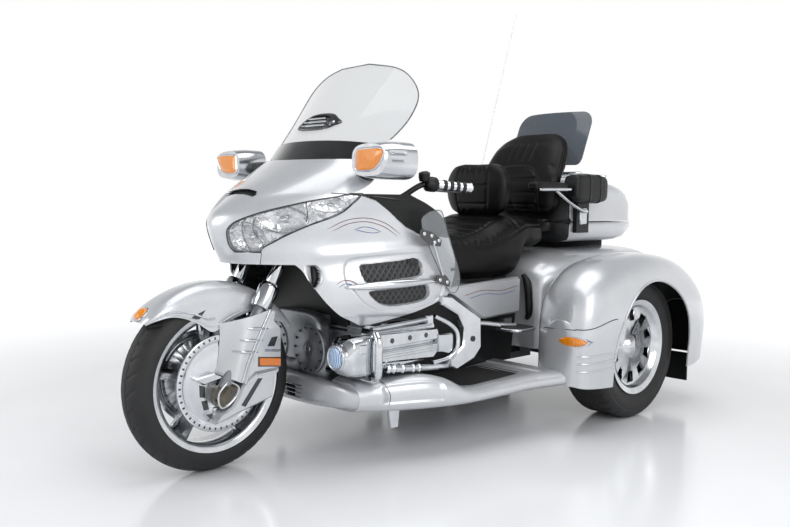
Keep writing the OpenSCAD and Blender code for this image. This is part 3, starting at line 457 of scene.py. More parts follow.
# %% [markdown]
# Panels on this machine are drawn from a few rows of sizes, as a body shop draws stations along a car.
# A smooth curve runs through the rows, and a surface is worked out on a whole grid of rows and columns
# at once. The helpers here do that: grids become quads, two grids become a sheet with thickness, rings
# become a loft, a circle carried along a path becomes a tube, and a profile turned about an axle a wheel.


# %% Curves, grids and pieces
def through(rows, keys, column=1):
    """Smooth curve through rows: between two rows a cubic, with end slopes from the chord across each
    row's neighbours."""
    rows, keys = np.asarray(rows, float), np.asarray(keys, float)
    x, y = rows[:, 0], rows[:, column]
    lo, hi = np.maximum(np.arange(len(x)) - 1, 0), np.minimum(np.arange(len(x)) + 1, len(x) - 1)
    m = (y[hi] - y[lo]) / (x[hi] - x[lo])
    i = np.clip(np.searchsorted(x, keys, side="right") - 1, 0, len(x) - 2)
    h, d = x[i + 1] - x[i], y[i + 1] - y[i]
    u, m0, m1 = (keys - x[i]) / h, m[i] * h, m[i + 1] * h
    return y[i] + u * (m0 + u * ((3 * d - 2 * m0 - m1) + u * (m0 + m1 - 2 * d)))


def path_through(points, count, closed=False):
    """Points along a smooth curve through the given ones, keyed by the length along them."""
    p = np.asarray(points, float)
    if closed:
        p = np.concatenate([p[-3:], p, p[:4]])
    keys = np.concatenate([[0.0], np.cumsum(np.linalg.norm(np.diff(p, axis=0), axis=1))])
    lo, hi = (keys[3], keys[-4]) if closed else (keys[0], keys[-1])
    u = np.linspace(lo, hi, count, endpoint=not closed)
    rows = np.column_stack([keys, p])
    return np.stack([through(rows, u, 1 + c) for c in range(p.shape[1])], -1)


def circle(count):
    """Angles evenly round a circle, the first at zero."""
    return np.linspace(0, 2 * np.pi, count, endpoint=False)


def grid_of(x, y, z):
    """Points from three coordinates, each spread over the grid that they span together."""
    return np.stack(np.broadcast_arrays(x, y, z), -1)


def step(v):
    """Smooth rise from 0 to 1 as v goes from 0 to 1: 3v squared minus 2v cubed."""
    v = np.clip(v, 0.0, 1.0)
    return v * v * (3.0 - 2.0 * v)


def power(v, p):
    """Power that keeps the sign, for superellipses."""
    return np.sign(v) * np.abs(v) ** p


def cells(n, m, around=False):
    """Corner numbers of the quads of an n by m grid, joined round its columns if asked."""
    i, j = np.meshgrid(np.arange(n - 1), np.arange(m if around else m - 1), indexing="ij")
    k = (j + 1) % m
    return np.stack([i * m + j, i * m + k, (i + 1) * m + k, (i + 1) * m + j], -1).reshape(-1, 4)


def shell(outer, inner):
    """A sheet with thickness: both grids, the second turned over, and a rim of quads between their edges."""
    n, m = outer.shape[:2]
    rim = np.concatenate([
        np.arange(m - 1), np.arange(n - 1) * m + m - 1, (n - 1) * m + np.arange(m - 1, 0, -1),
        np.arange(n - 1, 0, -1) * m
    ])
    ahead_rim = np.roll(rim, -1)
    edge = np.stack([rim, rim + n * m, ahead_rim + n * m, ahead_rim], -1)
    q = cells(n, m)
    return np.concatenate([outer.reshape(-1, 3), inner.reshape(-1, 3)]), [q, q[:, ::-1] + n * m, edge]


def loft(rings):
    """Closed rings joined in order, with a fan of triangles over each end."""
    n, m = rings.shape[:2]
    j = np.arange(m)
    k = (j + 1) % m
    ends = np.stack([rings[0].mean(0), rings[-1].mean(0)])
    fans = [
        np.stack([np.full(m, n * m), k, j], -1),
        np.stack([np.full(m, n * m + 1), (n - 1) * m + j, (n - 1) * m + k], -1)
    ]
    return np.concatenate([rings.reshape(-1, 3), ends]), [cells(n, m, True)] + fans


def tube(path, radius, sides=10, closed=False):
    """A circle carried along a path: at each point it lies square to the path, whose tangent comes from
    its neighbours."""
    path = np.asarray(path, float)
    t = np.roll(path, -1, 0) - np.roll(path, 1, 0) if closed else np.gradient(path, axis=0)
    t = t / np.linalg.norm(t, axis=1, keepdims=True)
    ref = np.eye(3)[np.argmin(np.abs(t).max(0))]
    e = np.cross(t, ref)
    e /= np.linalg.norm(e, axis=1, keepdims=True)
    f = np.cross(e, t)
    a = circle(sides)
    r = np.broadcast_to(np.asarray(radius, float), (len(path),))[:, None, None]
    rings = path[:, None] + r * (
        np.cos(a)[None, :, None] * e[:, None] + np.sin(a)[None, :, None] * f[:, None]
    )
    if not closed:
        return loft(rings)
    rings = np.concatenate([rings, rings[:1]])
    return rings.reshape(-1, 3), [cells(len(rings), sides, True)]


def spun(profile, sides, middle, bump=None):
    """A closed profile of (radius, along the axle) turned round an axle along X: x = middle + along, y
    and z on the circle."""
    profile = np.asarray(profile, float)
    a = circle(sides)
    r = profile[None, :, 0] + (
        0.0 * a[:, None] if bump is None else bump(a[:, None], np.arange(len(profile))[None, :])
    )
    x = np.broadcast_to(profile[None, :, 1], r.shape)
    grid = np.stack(
        [middle[0] + x, middle[1] + r * np.cos(a)[:, None], middle[2] + r * np.sin(a)[:, None]], -1
    )
    grid = np.concatenate([grid, grid[:1]])
    return grid.reshape(-1, 3), [cells(len(grid), len(profile), True)]


def mirrored(parts):
    """The parts and their mirror images across the centre plane, with the faces turned over."""
    return parts + [
        (np.asarray(p[0]).reshape(-1, 3) * (-1, 1, 1), [q[:, ::-1] for q in p[1]], *p[2:]) for p in parts
    ]


rebuilt = set()


def piece(name, parts, body, slots, nodes=(), edge=40.0):
    """One object from parts (points in mm from the front axle, arrays of faces, finish number or one per
    face)."""
    points, faces, marks, base = [], [], [], 0
    for part in parts:
        p = np.asarray(part[0], float).reshape(-1, 3)
        count = sum(len(q) for q in part[1])
        points.append(p)
        faces += [row for q in part[1] for row in (q + base).tolist()]
        marks.append(np.broadcast_to(part[2] if len(part) > 2 else 0, (count,)))
        base += len(p)
    mesh = bpy.data.meshes.new(name)
    spots = (np.concatenate(points) - (0.0, MID, 0.0)) / METRE
    mesh.from_pydata(spots.tolist(), [], faces)
    slots = [slots] if isinstance(slots, str) else slots
    for slot in slots:
        mesh.materials.append(finishes[slot])
    mesh.polygons.foreach_set("material_index", np.concatenate(marks).astype(np.int32))
    solid = bmesh.new()
    solid.from_mesh(mesh)
    bmesh.ops.remove_doubles(solid, verts=solid.verts, dist=1e-6)
    bmesh.ops.recalc_face_normals(solid, faces=solid.faces)
    solid.to_mesh(mesh)
    solid.free()
    mesh.shade_smooth()
    mesh.set_sharp_from_angle(angle=math.radians(edge))
    made = bpy.data.objects.new(name, mesh)
    bpy.context.collection.objects.link(made)
    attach(made, body)
    if nodes:
        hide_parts(*nodes)
        rebuilt.update(nodes)
    print(name + ":", len(mesh.vertices), "vertices,", len(mesh.polygons), "faces")
    return made


# %% [markdown]
# The upper fairing is one smooth nose. At each height its plan is a superellipse that starts at the
# nose, swells to a half width and ends at a rear edge, and the rows below give those values from the
# chin up to the screen. Everything on it, panels, lamps and vents, is placed with the same two functions.

# %% The fairing's form
FAIR = np.array([
    # height, nose y, rear y, half width, roundness, nose panel half width, side panel front x and rear y
    [502, 166, 672, 366, 2.0, 0, 315, 446], [516, 148, 698, 378, 2.0, 0, 312, 506],
    [540, 120, 735, 396, 2.0, 0, 303, 610], [570, 105, 752, 407, 1.95, 0, 290, 706],
    [600, 95, 765, 414, 1.9, 0, 276, 765], [660, 80, 785, 420, 1.8, 0, 246, 785],
    [718, 64, 795, 416, 1.7, 128, 210, 795], [760, 40, 790, 408, 1.65, 66, 140, 790],
    [800, 20, 782, 402, 1.6, 56, 176, 782], [851, 9, 768, 394, 1.65, 74, 242, 768],
    [890, 24, 752, 386, 1.75, 138, 292, 752], [930, 70, 690, 376, 1.9, 232, 318, 690],
    [964, 120, 614, 362, 2.0, 314, 330, 614], [1030, 242, 506, 326, 2.1, 326, 326, 506],
    [1086, 340, 470, 268, 2.2, 268, 268, 470],
], float)
SKIN = 5.0  # thickness of a panel, mm
CHIN, LAMP_LOW, LAMP_TOP, SCREEN_FOOT = 718, 760, 964, 1086  # heights, mm


def fairing(z, a, d=0.0):
    """Point of the fairing at a height and plan angle, d mm inside: x = w sin^(2/n), y = rear minus
    length times cos^(2/n)."""
    yn, yr, w, n = (through(FAIR, z, c) for c in (1, 2, 3, 4))
    x = (w - d) * power(np.sin(a), 2 / n)
    y = yr - (yr - yn - d) * np.maximum(np.cos(a), 0) ** (2 / n)
    return grid_of(x, y, z).astype(float)


def plan_angle(z, x):
    """Plan angle at which the fairing is x wide at that height."""
    return np.arcsin(np.clip((x / through(FAIR, z, 3)), 0, 1) ** (through(FAIR, z, 4) / 2))


def nose_half(z):
    """Half width of the nose panel: the chin is full width below the lamps."""
    return np.where(z < LAMP_LOW, 128 + (z - CHIN) * 0.27, through(FAIR, z, 5))


def side_front(z):
    """Where the side panel's front edge stands: it meets the chin below the lamps."""
    return np.where((z >= CHIN) & (z < LAMP_LOW), nose_half(z) + 0.6, through(FAIR, z, 6))


def side_end(z):
    """Plan angle of the side panel's rear edge."""
    yn, yr, y = through(FAIR, z, 1), through(FAIR, z, 2), through(FAIR, z, 7)
    return np.arccos(np.clip((yr - y) / (yr - yn), 0, 1) ** (through(FAIR, z, 4) / 2))


def on_side(spots, d=0.0):
    """Fairing points from (y, z) pairs, pushed d mm out along the plan's own normal."""
    y, z = np.asarray(spots, float)[..., 0], np.asarray(spots, float)[..., 1]
    yn, yr, w, n = (through(FAIR, z, c) for c in (1, 2, 3, 4))
    t = np.clip((yr - y) / (yr - yn), 0, 1)
    x = w * (1 - t**n) ** (1 / n)
    nx, ny = (x / w) ** (n - 1) / w, -(t ** (n - 1)) / (yr - yn)
    size = np.hypot(nx, ny)
    return np.stack([x + d * nx / size, y + d * ny / size, z], -1)


def on_front(spots, d=0.0):
    """Fairing points from (x, z) pairs, pushed d mm forward."""
    x, z = np.asarray(spots, float)[..., 0], np.asarray(spots, float)[..., 1]
    yn, yr, w, n = (through(FAIR, z, c) for c in (1, 2, 3, 4))
    y = yr - (yr - yn) * (1 - np.clip(np.abs(x) / w, 0, 1) ** n) ** (1 / n)
    return np.stack([x, y - d, z], -1)


def inside(outline, u, v):
    """Signed distance of points (u, v) into a closed outline, in mm: positive inside."""
    a = np.asarray(outline, float)
    b = np.roll(a, -1, 0)
    pu, pv = u.reshape(-1, 1) - a[:, 0], v.reshape(-1, 1) - a[:, 1]
    eu, ev = (b - a).T
    t = np.clip((pu * eu + pv * ev) / (eu * eu + ev * ev), 0, 1)
    far = np.hypot(pu - t * eu, pv - t * ev).min(1)
    crossing = (
        ((a[:, 1] > v.reshape(-1, 1)) != (b[:, 1] > v.reshape(-1, 1)))
        & (pu < eu * pv / np.where(ev == 0, 1e-9, ev))
    )
    return (np.where(crossing.sum(1) % 2 == 1, far, -far)).reshape(u.shape)


print("fairing tip:", on_front([[0.0, 851.0]])[0].round(0))

# %% [markdown]
# The nose panel carries a curved black slot under the screen and a shallow scoop below it. They could be
# cut with booleans, but on a fine grid it is simpler to push the surface back where a smooth mask says
# so, and to give the faces inside the slot the black finish.

# %% Nose panel
zs = np.concatenate([np.linspace(CHIN, LAMP_LOW - 0.1, 18), np.linspace(LAMP_LOW, SCREEN_FOOT, 155)])[:, None]
s = np.linspace(-1, 1, 141)[None, :]
a = plan_angle(zs, nose_half(zs)) * np.abs(s)
outer = fairing(zs, a) * np.stack([np.sign(s) + 0 * zs, 1 + 0 * a, 1 + 0 * a], -1)
inner = fairing(zs, a, SKIN) * np.stack([np.sign(s) + 0 * zs, 1 + 0 * a, 1 + 0 * a], -1)
x, z = outer[..., 0], outer[..., 2]
slot_mask = step((90 - np.abs(x)) / 7) * step((11 - np.abs(z - 966 + 0.0013 * x * x)) / 5)
half = 38 + (z - 893) / 57 * 56
scoop = 13 * np.clip((z - 893) / 57, 0, 1) * step((half - np.abs(x)) / 7) * step((962 - z) / 6)
push = np.stack([0 * x, np.maximum(20 * slot_mask, scoop), 0 * x], -1)
q = cells(*x.shape)
dark = slot_mask.reshape(-1)[q].mean(1) > 0.5
marks = np.concatenate([dark, np.ones(len(q), bool), np.zeros(2 * (sum(x.shape) - 2), bool)]).astype(int)
piece(
    "nose_panel", [(*shell(outer + push, inner + push), marks)], "chassis", ["silver_paint", "black_plastic"],
    ["nose_fairing"]
)

# %% [markdown]
# Each side panel has a recessed frame with two mesh openings, one above the other, a bright blade between
# them, and an air inlet behind its front edge. Outlines are given as (length, height) pairs read off the
# fairing. The panel sinks inside them, and a separate black mesh lies in each opening. Above a line
# that falls toward the rider the panel is black trim, a few millimetres lower than the paint.

# %% Side panels with vents
frame_line = path_through([
    (352, 700), (366, 732), (400, 742), (500, 750), (600, 755), (680, 752), (730, 720), (738, 640),
    (722, 588), (640, 562), (500, 552), (452, 562), (408, 590), (380, 626), (356, 652)
], 120, True)
vent_high = path_through([
    (409, 712), (440, 717), (545, 726), (620, 732), (641, 704), (633, 674), (548, 662), (430, 652), (416, 668)
], 90, True)
vent_low = path_through([
    (432, 620), (500, 627), (574, 632), (656, 638), (670, 606), (652, 584), (524, 570), (476, 578), (448, 598)
], 90, True)
inlet = path_through([
    (232, 712), (250, 716), (270, 713), (281, 694), (280, 668), (268, 646), (258, 634), (250, 652), (240, 682)
], 60, True)
zs = np.concatenate([
    np.linspace(502, CHIN - 0.1, 90), np.linspace(CHIN, LAMP_LOW - 0.1, 16),
    np.linspace(LAMP_LOW, LAMP_TOP, 66)
])[:, None]
a0 = plan_angle(zs, side_front(zs))
a = a0 + (side_end(zs) - a0) * np.linspace(0, 1, 150)[None, :]
outer, inner = fairing(zs, a), fairing(zs, a, SKIN)
y, z = outer[..., 1], outer[..., 2]
sunk = (
    5 * step((inside(frame_line, y, z) + 4) / 8)
    + 16 * step(np.maximum(inside(vent_high, y, z), inside(vent_low, y, z)) / 6 + 0.5)
)
hole = inside(inlet, y, z)
sunk = sunk + 26 * step(hole / 9 + 0.3) * step((y - 232) / 40)
crease = (
    4.0 * np.exp(-(((z - (745 + 0.09 * (y - 250))) / 16) ** 2)) * step((y - 230) / 60) * step((700 - y) / 60)
)
line_y, line_z = np.array([300, 357, 460, 520, 581, 640, 760]), np.array([990, 973, 939, 897, 847, 818, 806])
above = z - np.interp(y, line_y, line_z)
sunk = sunk + 6 * step(above / 6)
push = np.stack([crease - sunk, 0.25 * sunk, 0 * sunk], -1)
dark = (hole.reshape(-1) > 1.5)[cells(*y.shape)].mean(1) > 0.6
dark &= (y.reshape(-1)[cells(*y.shape)].mean(1) > 256)
dark |= above.reshape(-1)[cells(*y.shape)].mean(1) > 2
marks = np.concatenate([dark, np.ones(len(dark), bool), np.zeros(2 * (sum(y.shape) - 2), bool)]).astype(int)
panel = (*shell(outer + push, inner + push), marks)
piece("side_panels", mirrored([panel]), "chassis", ["silver_paint", "black_plastic"], ["side_fairings"])

made, tree, shader, where = finish_named("black_wire_mesh", Roughness=0.45)
lattice = [
    add(tree, "ShaderNodeTexWave", {
        "Vector": add(
            tree, "ShaderNodeMapping", {"Vector": where, "Rotation": (math.radians(turn), 0.0, 0.0)}
        ).outputs["Vector"], "Scale": METRE / 9.0 / 20.0 * math.pi
    }, bands_direction="Y").outputs["Fac"] for turn in (35.0, -35.0)
]
wire = add(tree, "ShaderNodeMath", {0: lattice[0], 1: lattice[1]}, operation="MAXIMUM").outputs["Value"]
add(
    tree, "ShaderNodeValToRGB", {"Fac": wire}, [(0.78, "#040404"), (0.92, "#3A3B3D")],
    into=shader.inputs["Base Color"]
)
add(
    tree, "ShaderNodeBump", {"Height": wire, "Distance": 2.0 / METRE, "Strength": 0.8},
    into=shader.inputs["Normal"]
)
finishes["black_mesh"] = made


def patch(outline, depth, rings=8):
    """A filled outline on the fairing: rings shrink from the outline to its middle, all at one depth."""
    mid = outline.mean(0)
    k = np.linspace(1.0, 0.0, rings)[:, None, None]
    spots = on_side(mid + (outline - mid) * k, depth)
    return spots.reshape(-1, 3), [cells(rings, len(outline), True)]


piece("vent_mesh", mirrored([patch(vent_high, -19.5), patch(vent_low, -19.5)]), "chassis", ["black_mesh"])
u = np.linspace(0, 1, 60)[:, None]
v = circle(20)[None, :]
blade_y = 346 + 362 * u + 0 * v
blade_z = 640 + 14 * u + (2 + 13 * np.sin(np.pi * np.clip(u * 1.02, 0, 1)) ** 0.5) * np.sin(v)
rings = (
    on_side(np.stack([blade_y, blade_z], -1))
    + np.stack([(1 + 11 * np.sin(np.pi * u) ** 0.5) * np.cos(v) + 1.0, 0 * u * v, 0 * u * v], -1)
)
piece("vent_blades", mirrored([loft(rings)]), "chassis", ["silver_trim"])
print("vents done")

# %% [markdown]
# Each headlamp is a clear lens over bright faceted bowls, with a black gasket round it. The lens follows
# the fairing, and the reflector is the same grid pushed deeper where three bowls sit. A black outline
# and three dark dividing lines finish it. A real reflector is pressed in facets, drawn here as cells.
# Each cell is also given its own brightness from grey to near white, a painted reflection of the light
# that the facets catch.

# %% Headlamps
made, tree, shader, where = finish_named("faceted_lamp_reflector", Metallic=1.0, Roughness=0.12)
facet = add(tree, "ShaderNodeTexVoronoi", {"Vector": where, "Scale": METRE / 16.0}, distance="CHEBYCHEV")
# painted reflection: the ramp gives each facet cell a colour from grey to near white, standing in for the
# light each facet reflects
add(
    tree, "ShaderNodeValToRGB", {"Fac": facet.outputs["Color"]}, [(0.1, "#9A9DA1"), (0.9, "#F4F5F6")],
    into=shader.inputs["Base Color"]
)
add(
    tree, "ShaderNodeBump", {"Height": facet.outputs["Distance"], "Distance": 3.0 / METRE, "Strength": 0.6},
    into=shader.inputs["Normal"]
)
finishes["reflector"] = made

clouded(
    "gloss_black", "gloss_black_lacquer", [(0.3, "#1B1B1D"), (0.7, "#29292B")], 90.0, Roughness=0.12,
    Coat_Weight=0.6, Coat_Roughness=0.04
)


def lamp_grid(zs, lo, hi, count, d):
    """Grid between the nose panel's edge and the side panel's edge, lo to hi of the way, d mm inside."""
    a0, a1 = plan_angle(zs, through(FAIR, zs, 5) + 0.8), plan_angle(zs, through(FAIR, zs, 6) - 0.8)
    return fairing(zs, a0 + (a1 - a0) * np.linspace(lo, hi, count)[None, :], d)


def bowl(x, z, cx, cz, rx, rz):
    """A rounded pit: root of one minus the squared distance from its middle, in units of its radii."""
    return np.sqrt(np.clip(1 - ((x - cx) / rx) ** 2 - ((z - cz) / rz) ** 2, 0, 1))


zs = np.linspace(LAMP_LOW + 0.5, LAMP_TOP - 0.5, 70)[:, None]
lens_parts = [shell(lamp_grid(zs, 0, 1, 60, 1.0), lamp_grid(zs, 0, 1, 60, 4.0))]
zs = np.linspace(LAMP_LOW + 3, LAMP_TOP - 3, 100)[:, None]
flat_grid = lamp_grid(zs, 0.01, 0.99, 90, 0.0)
x, z = flat_grid[..., 0], flat_grid[..., 2]
deep = (
    9 + 34 * bowl(x, z, 108, 812, 44, 52) + 34 * bowl(x, z, 190, 872, 52, 46)
    + 16 * bowl(x, z, 276, 925, 30, 28)
)
back = np.stack([-0.25 * deep, deep, 0 * deep], -1)
bulbs = []
for cx, cz, r in ((108, 812, 13), (190, 872, 13), (276, 925, 9)):
    tip = on_front([[cx, cz]])[0]
    u = np.linspace(0, 1, 12)[:, None]
    v = circle(20)[None, :]
    size = r * np.sqrt(1 - (1 - u) ** 2)
    bulbs.append(loft(
        np.stack([tip[0] - 6 + size * np.cos(v), tip[1] + 14 + 26 * u + 0 * v, tip[2] + size * np.sin(v)], -1)
    ))
piece("lamp_lenses", mirrored(lens_parts), "chassis", ["lamp_glass"], ["headlights"])
piece(
    "lamp_reflectors", mirrored([shell(flat_grid + back, flat_grid + back + (0, 2, 0))] + bulbs), "chassis",
    ["reflector"]
)
zs = np.linspace(LAMP_LOW, LAMP_TOP, 60)
left_edge = np.column_stack([through(FAIR, zs, 5), zs])
right_edge = np.column_stack([through(FAIR, zs, 6), zs])[::-1]
ring = np.concatenate([left_edge, right_edge])
lines = [tube(on_front(ring, 0.5), 2.6, 8, True)]
for spots in (
    [(240, 866), (244, 892), (243, 922), (239, 950)], [(146, 792), (134, 820), (132, 850), (140, 882)],
    [(112, 764), (104, 800), (104, 840), (112, 878)]
):
    lines.append(tube(on_front(path_through(spots, 24), -3.0), 1.5, 6))
seam_up = on_side(path_through([(306, 965), (360, 962), (430, 957), (500, 951), (560, 945)], 40), 0.0)
lines.append(tube(seam_up, 1.8, 6))
lines.append(tube(on_front(path_through([(140, 758), (136, 745), (131, 730), (128, 719)], 16), 0.2), 1.0, 6))
piece("lamp_gaskets", mirrored(lines), "chassis", ["gloss_black"])

# %% [markdown]
# The windshield is one bent sheet of clear plastic. Its rows give a half width, a place along the
# machine and a bend across it, so a point is that place plus the bend times x squared. Low in its middle
# sits a small vent with bright slats, and its foot is hidden behind a dark band.

# %% Windshield
GLASS = np.array([
    # height, half width, middle y, bend per mm
    [1088, 262, 352, 0.00125], [1130, 306, 386, 0.00122], [1171, 334, 420, 0.00118], [1250, 350, 486, 0.0011],
    [1331, 336, 554, 0.001], [1400, 276, 611, 0.0009], [1440, 196, 643, 0.0009], [1463, 70, 660, 0.0009],
], float)
FOOT, FOOT_TOP, SCREEN_TOP = 1087.6, 1158, 1463  # heights of the dark band and of the sheet's top, mm


def screen(x, z, d=0.0):
    """Point of the screen at a width and height, d mm behind its front face."""
    y = through(GLASS, z, 2) + through(GLASS, z, 3) * x * x + d
    return grid_of(x, y, z + 0.2 * d).astype(float)


zs = np.concatenate([np.linspace(1092, 1400, 60), np.linspace(1402, SCREEN_TOP, 40)])[:, None]
x = through(GLASS, zs, 1) * np.linspace(-1, 1, 81)[None, :]
piece(
    "windshield_sheet", [shell(screen(x, zs), screen(x, zs, 5.0))], "chassis", ["clear_screen"],
    ["windshield"]
)
# Painted shade: the clear sheet's edge looks dark in the light, so a smoked tube round its rim paints that
# dark line.
rim_z = np.concatenate([np.linspace(FOOT_TOP, SCREEN_TOP, 90), np.linspace(SCREEN_TOP, FOOT_TOP, 90)[1:]])
rim_x = np.concatenate([np.full(90, 1.0), np.full(89, -1.0)]) * through(GLASS, rim_z, 1)
piece("windshield_edge_painted_shade", [tube(screen(rim_x, rim_z, 2.5), 2.4, 6)], "chassis", ["smoked_screen"])

zs = np.linspace(FOOT, FOOT_TOP, 36)[:, None]
s = np.linspace(-0.975, 0.975, 81)[None, :]
tall = FOOT + (zs - FOOT) * (1.0 - 0.28 * np.abs(s) ** 3)
x = through(GLASS, tall, 1) * s
piece(
    "windshield_foot", [shell(screen(x, tall, -6.0), screen(x, tall, -0.8))], "chassis", ["gloss_black"],
    ["windshield_garnish"]
)

vent_line = path_through([
    (-118, 1216), (-80, 1203), (0, 1199), (70, 1202), (104, 1214), (128, 1226), (100, 1243), (62, 1262),
    (0, 1268), (-60, 1262), (-100, 1242)
], 90, True)
mid = vent_line.mean(0)
steps = [(1.0, 0.0), (0.98, -9.0), (0.9, -12.0), (0.8, -10.0), (0.76, -2.0)]
rings = np.stack([screen(*(mid + (vent_line - mid) * k).T, d) for k, d in steps])
slats = []
for z, lo, hi in ((1220, -86, 58), (1234, -84, 56), (1248, -70, 40)):
    bar = np.linspace(lo, hi, 24)
    slats.append((*tube(screen(bar, np.full(24, float(z)), -6.0), 4.2, 8), 1))
floor_rings = np.stack([screen(*(mid + (vent_line - mid) * k).T, -1.5) for k in (0.78, 0.4, 0.0)])
knob = [(*loft(np.stack([
    screen(92 + r * np.cos(circle(20)), 1228 + r * np.sin(circle(20)), d)
    for r, d in ((9, -9), (9, -15), (6, -17))
])), 1)]
piece(
    "screen_vent",
    [
        (rings.reshape(-1, 3), [cells(5, 90, True)], 0), (floor_rings.reshape(-1, 3), [cells(3, 90, True)], 0)
    ] + slats + knob, "chassis", ["gloss_black", "chrome"]
)

# %% [markdown]
# The mirrors are bright housings with an amber lamp let into the front and flutes toward the outside.
# Each is a loft of superellipses from front to back. The flutes are grooves pressed into the outer
# half, and a bright bead frames the lamp. A black boot carries the housing on the fairing.

# %% Mirrors
u = np.linspace(0, 1, 60)[:, None]
v = circle(96)[None, :]
k = np.sqrt(1 - (1 - np.minimum(1, 0.28 + u * 1.1)) ** 2)
x = 424 + 14 * u + (62 + 28 * k) * power(np.cos(v), 2 / 3)
z = 1076 + (30 + 34 * k) * power(np.sin(v), 2 / 3)
flute = (
    sum(np.exp(-(((z - at) / 5.0) ** 2)) for at in (1099, 1077)) * step((np.cos(v) - 0.1) * 2)
    * step((u - 0.08) * 6) * step((0.72 - u) * 5)
)
x = x - 5 * flute
housing = np.stack([x, 348 + 132 * u + 0 * v, z], -1)
lamp_line = path_through([
    (366, 1046), (364, 1078), (370, 1108), (420, 1114), (486, 1113), (502, 1102), (494, 1082), (474, 1058),
    (448, 1044), (400, 1041)
], 80, True)
mid = lamp_line.mean(0)


def lamp_ring(scale, y):
    """The amber lamp's outline, shrunk toward its middle, at one place along the machine."""
    spots = mid + (lamp_line - mid) * scale
    return np.column_stack([spots[:, 0], np.full(len(spots), y), spots[:, 1]])


amber = loft(np.stack([
    lamp_ring(0.98, 358.0), lamp_ring(0.98, 346.0), lamp_ring(0.9, 342.6), lamp_ring(0.5, 340.6),
    lamp_ring(0.05, 340.2)
]))
bead = tube(lamp_ring(1.02, 347.5), 4.0, 8, True)
boot_path = path_through([(300, 446, 1046), (340, 440, 1052), (378, 430, 1060), (402, 424, 1066)], 24)
boot = tube(boot_path, np.linspace(44, 26, 24), 20)
piece("mirror_housings", mirrored([loft(housing), bead]), "chassis", ["silver_trim"], ["mirrors"])
piece("mirror_amber", mirrored([amber]), "chassis", ["amber_lens"], ["mirror_lamps"])
piece("mirror_boots", mirrored([boot]), "chassis", ["black_plastic"])
print("front of the fairing done")

# %% [markdown]
# The front fender is a bent shell that follows the tyre. Its rows give, for each angle ahead of the top,
# how far the crown and the edge stand off the axle and how wide it is. Across, it is a superellipse, so
# its sides are nearly flat. A beaded bright trim runs along the lower edge, and an amber lamp sits on
# the tip. Flat fittings are plates: an outline with a thickness, whose outer edge is turned in a little.


# %% Front fender
def plate(outline, x0, x1, inset=2.0, count=0):
    """A flat plate: a closed outline of (y, z) from x0 out to x1, its outer edge turned in by the inset."""
    p = path_through(outline, count, True) if count else np.asarray(outline, float)
    t = np.roll(p, -1, 0) - np.roll(p, 1, 0)
    out = np.column_stack([t[:, 1], -t[:, 0]]) / np.linalg.norm(t, axis=1, keepdims=True)
    turn = np.sign(np.sum(p[:, 0] * np.roll(p[:, 1], -1) - p[:, 1] * np.roll(p[:, 0], -1)))
    rings = [(p, x0), (p, x1 - math.copysign(inset, x1 - x0)), (p - turn * out * inset, x1)]
    grid = np.stack([np.column_stack([np.full(len(q), float(x)), q]) for q, x in rings])
    m = len(p)
    return grid.reshape(-1, 3), [cells(3, m, True), np.arange(m)[None, ::-1], (2 * m + np.arange(m))[None, :]]


def bolt(spot, ahead, radius, height):
    """A low round screw head standing on a spot, pointing ahead."""
    spot, ahead = np.asarray(spot, float), np.asarray(ahead, float)
    ahead = ahead / np.linalg.norm(ahead)
    along = np.array([-0.5, 0.6, 0.9, 1.0])[:, None] * height
    return tube(spot + along * ahead, np.array([1.0, 1.0, 0.8, 0.45]) * radius, 14)


AXLE = 316.0  # height of the front axle, mm
REAR = (525.0, 1779.0, 313.0)  # half track, wheelbase and height of the rear axle, mm
GUARD = np.array([
    # angle ahead of the top, crown over the tyre, edge over the tyre, share of the half width
    [-60, 34, 12, 1], [-40, 32, -16, 1], [-15, 30, -90, 1], [0, 30, -128, 1], [12, 31, -132, 1],
    [24, 33, -80, 1], [36, 36, -20, 1], [46, 38, 14, 0.884], [50, 36, 24, 0.67],
], float)


def guard(f, b, d=0.0):
    """Point of the fender: f degrees ahead of the top, b degrees across, d mm inside its face."""
    top, edge = AXLE + through(GUARD, f, 1) - d, AXLE + through(GUARD, f, 2)
    x = (74.7 * through(GUARD, f, 3) - d) * power(np.sin(np.radians(b)), 0.55)
    r = edge + (top - edge) * np.clip(np.cos(np.radians(b)), 0, 1) ** 0.55
    f = np.radians(f)
    return grid_of(x, -r * np.sin(f), AXLE + r * np.cos(f)).astype(float)


f = np.concatenate([np.linspace(-60, 44, 105), np.linspace(44.5, 50, 14)])[:, None]
b = 90 * np.sin(np.radians(np.linspace(-90, 90, 91)))[None, :]
skin = [(*shell(guard(f, b), guard(f, b, 3.0)), 0)]
lip = np.linspace(-60, 50, 140)
edges = [(*tube(guard(lip, np.full(140, 89.0)), 2.2, 8), 0)]
trim = np.linspace(6, 45, 220)
edges.append((*tube(
    guard(trim, np.full(220, 86.0)) + (1.5, 0, 6), 3.6 + 0.9 * np.sin(np.linspace(0, 60 * np.pi, 220)), 8
), 1))
edges.append((*plate([(-118, 545), (-80, 541), (-58, 570), (-96, 557)], 72, 75.6, 0.6), 2))
edges.append((*bolt((75.0, 108, 540), (1, 0, 0), 8, 4), 1))
piece(
    "fender_shell", skin + mirrored(edges), "steering", ["silver_paint", "chrome", "gloss_black"],
    ["front_fender"]
)

v = circle(48)[None, :]
tilt = math.radians(43)


def on_tip(x, y, z):
    """Point above the fender's tip, in axes that lean 43 degrees ahead with it."""
    return grid_of(x, y * math.cos(tilt) - z * math.sin(tilt), AXLE + y * math.sin(tilt) + z * math.cos(tilt))


def dome(rows):
    """Rounded triangles stacked from rows of height over the tyre and inset."""
    rows = np.asarray(rows, float)
    wide = 24 - rows[:, 1:2]
    long = 26 - rows[:, 1:2]
    return loft(on_tip(
        wide * power(np.cos(v), 2 / 3), -14 + long * power(np.sin(v), 2 / 3), AXLE + rows[:, 0:1] + 0 * v
    ))


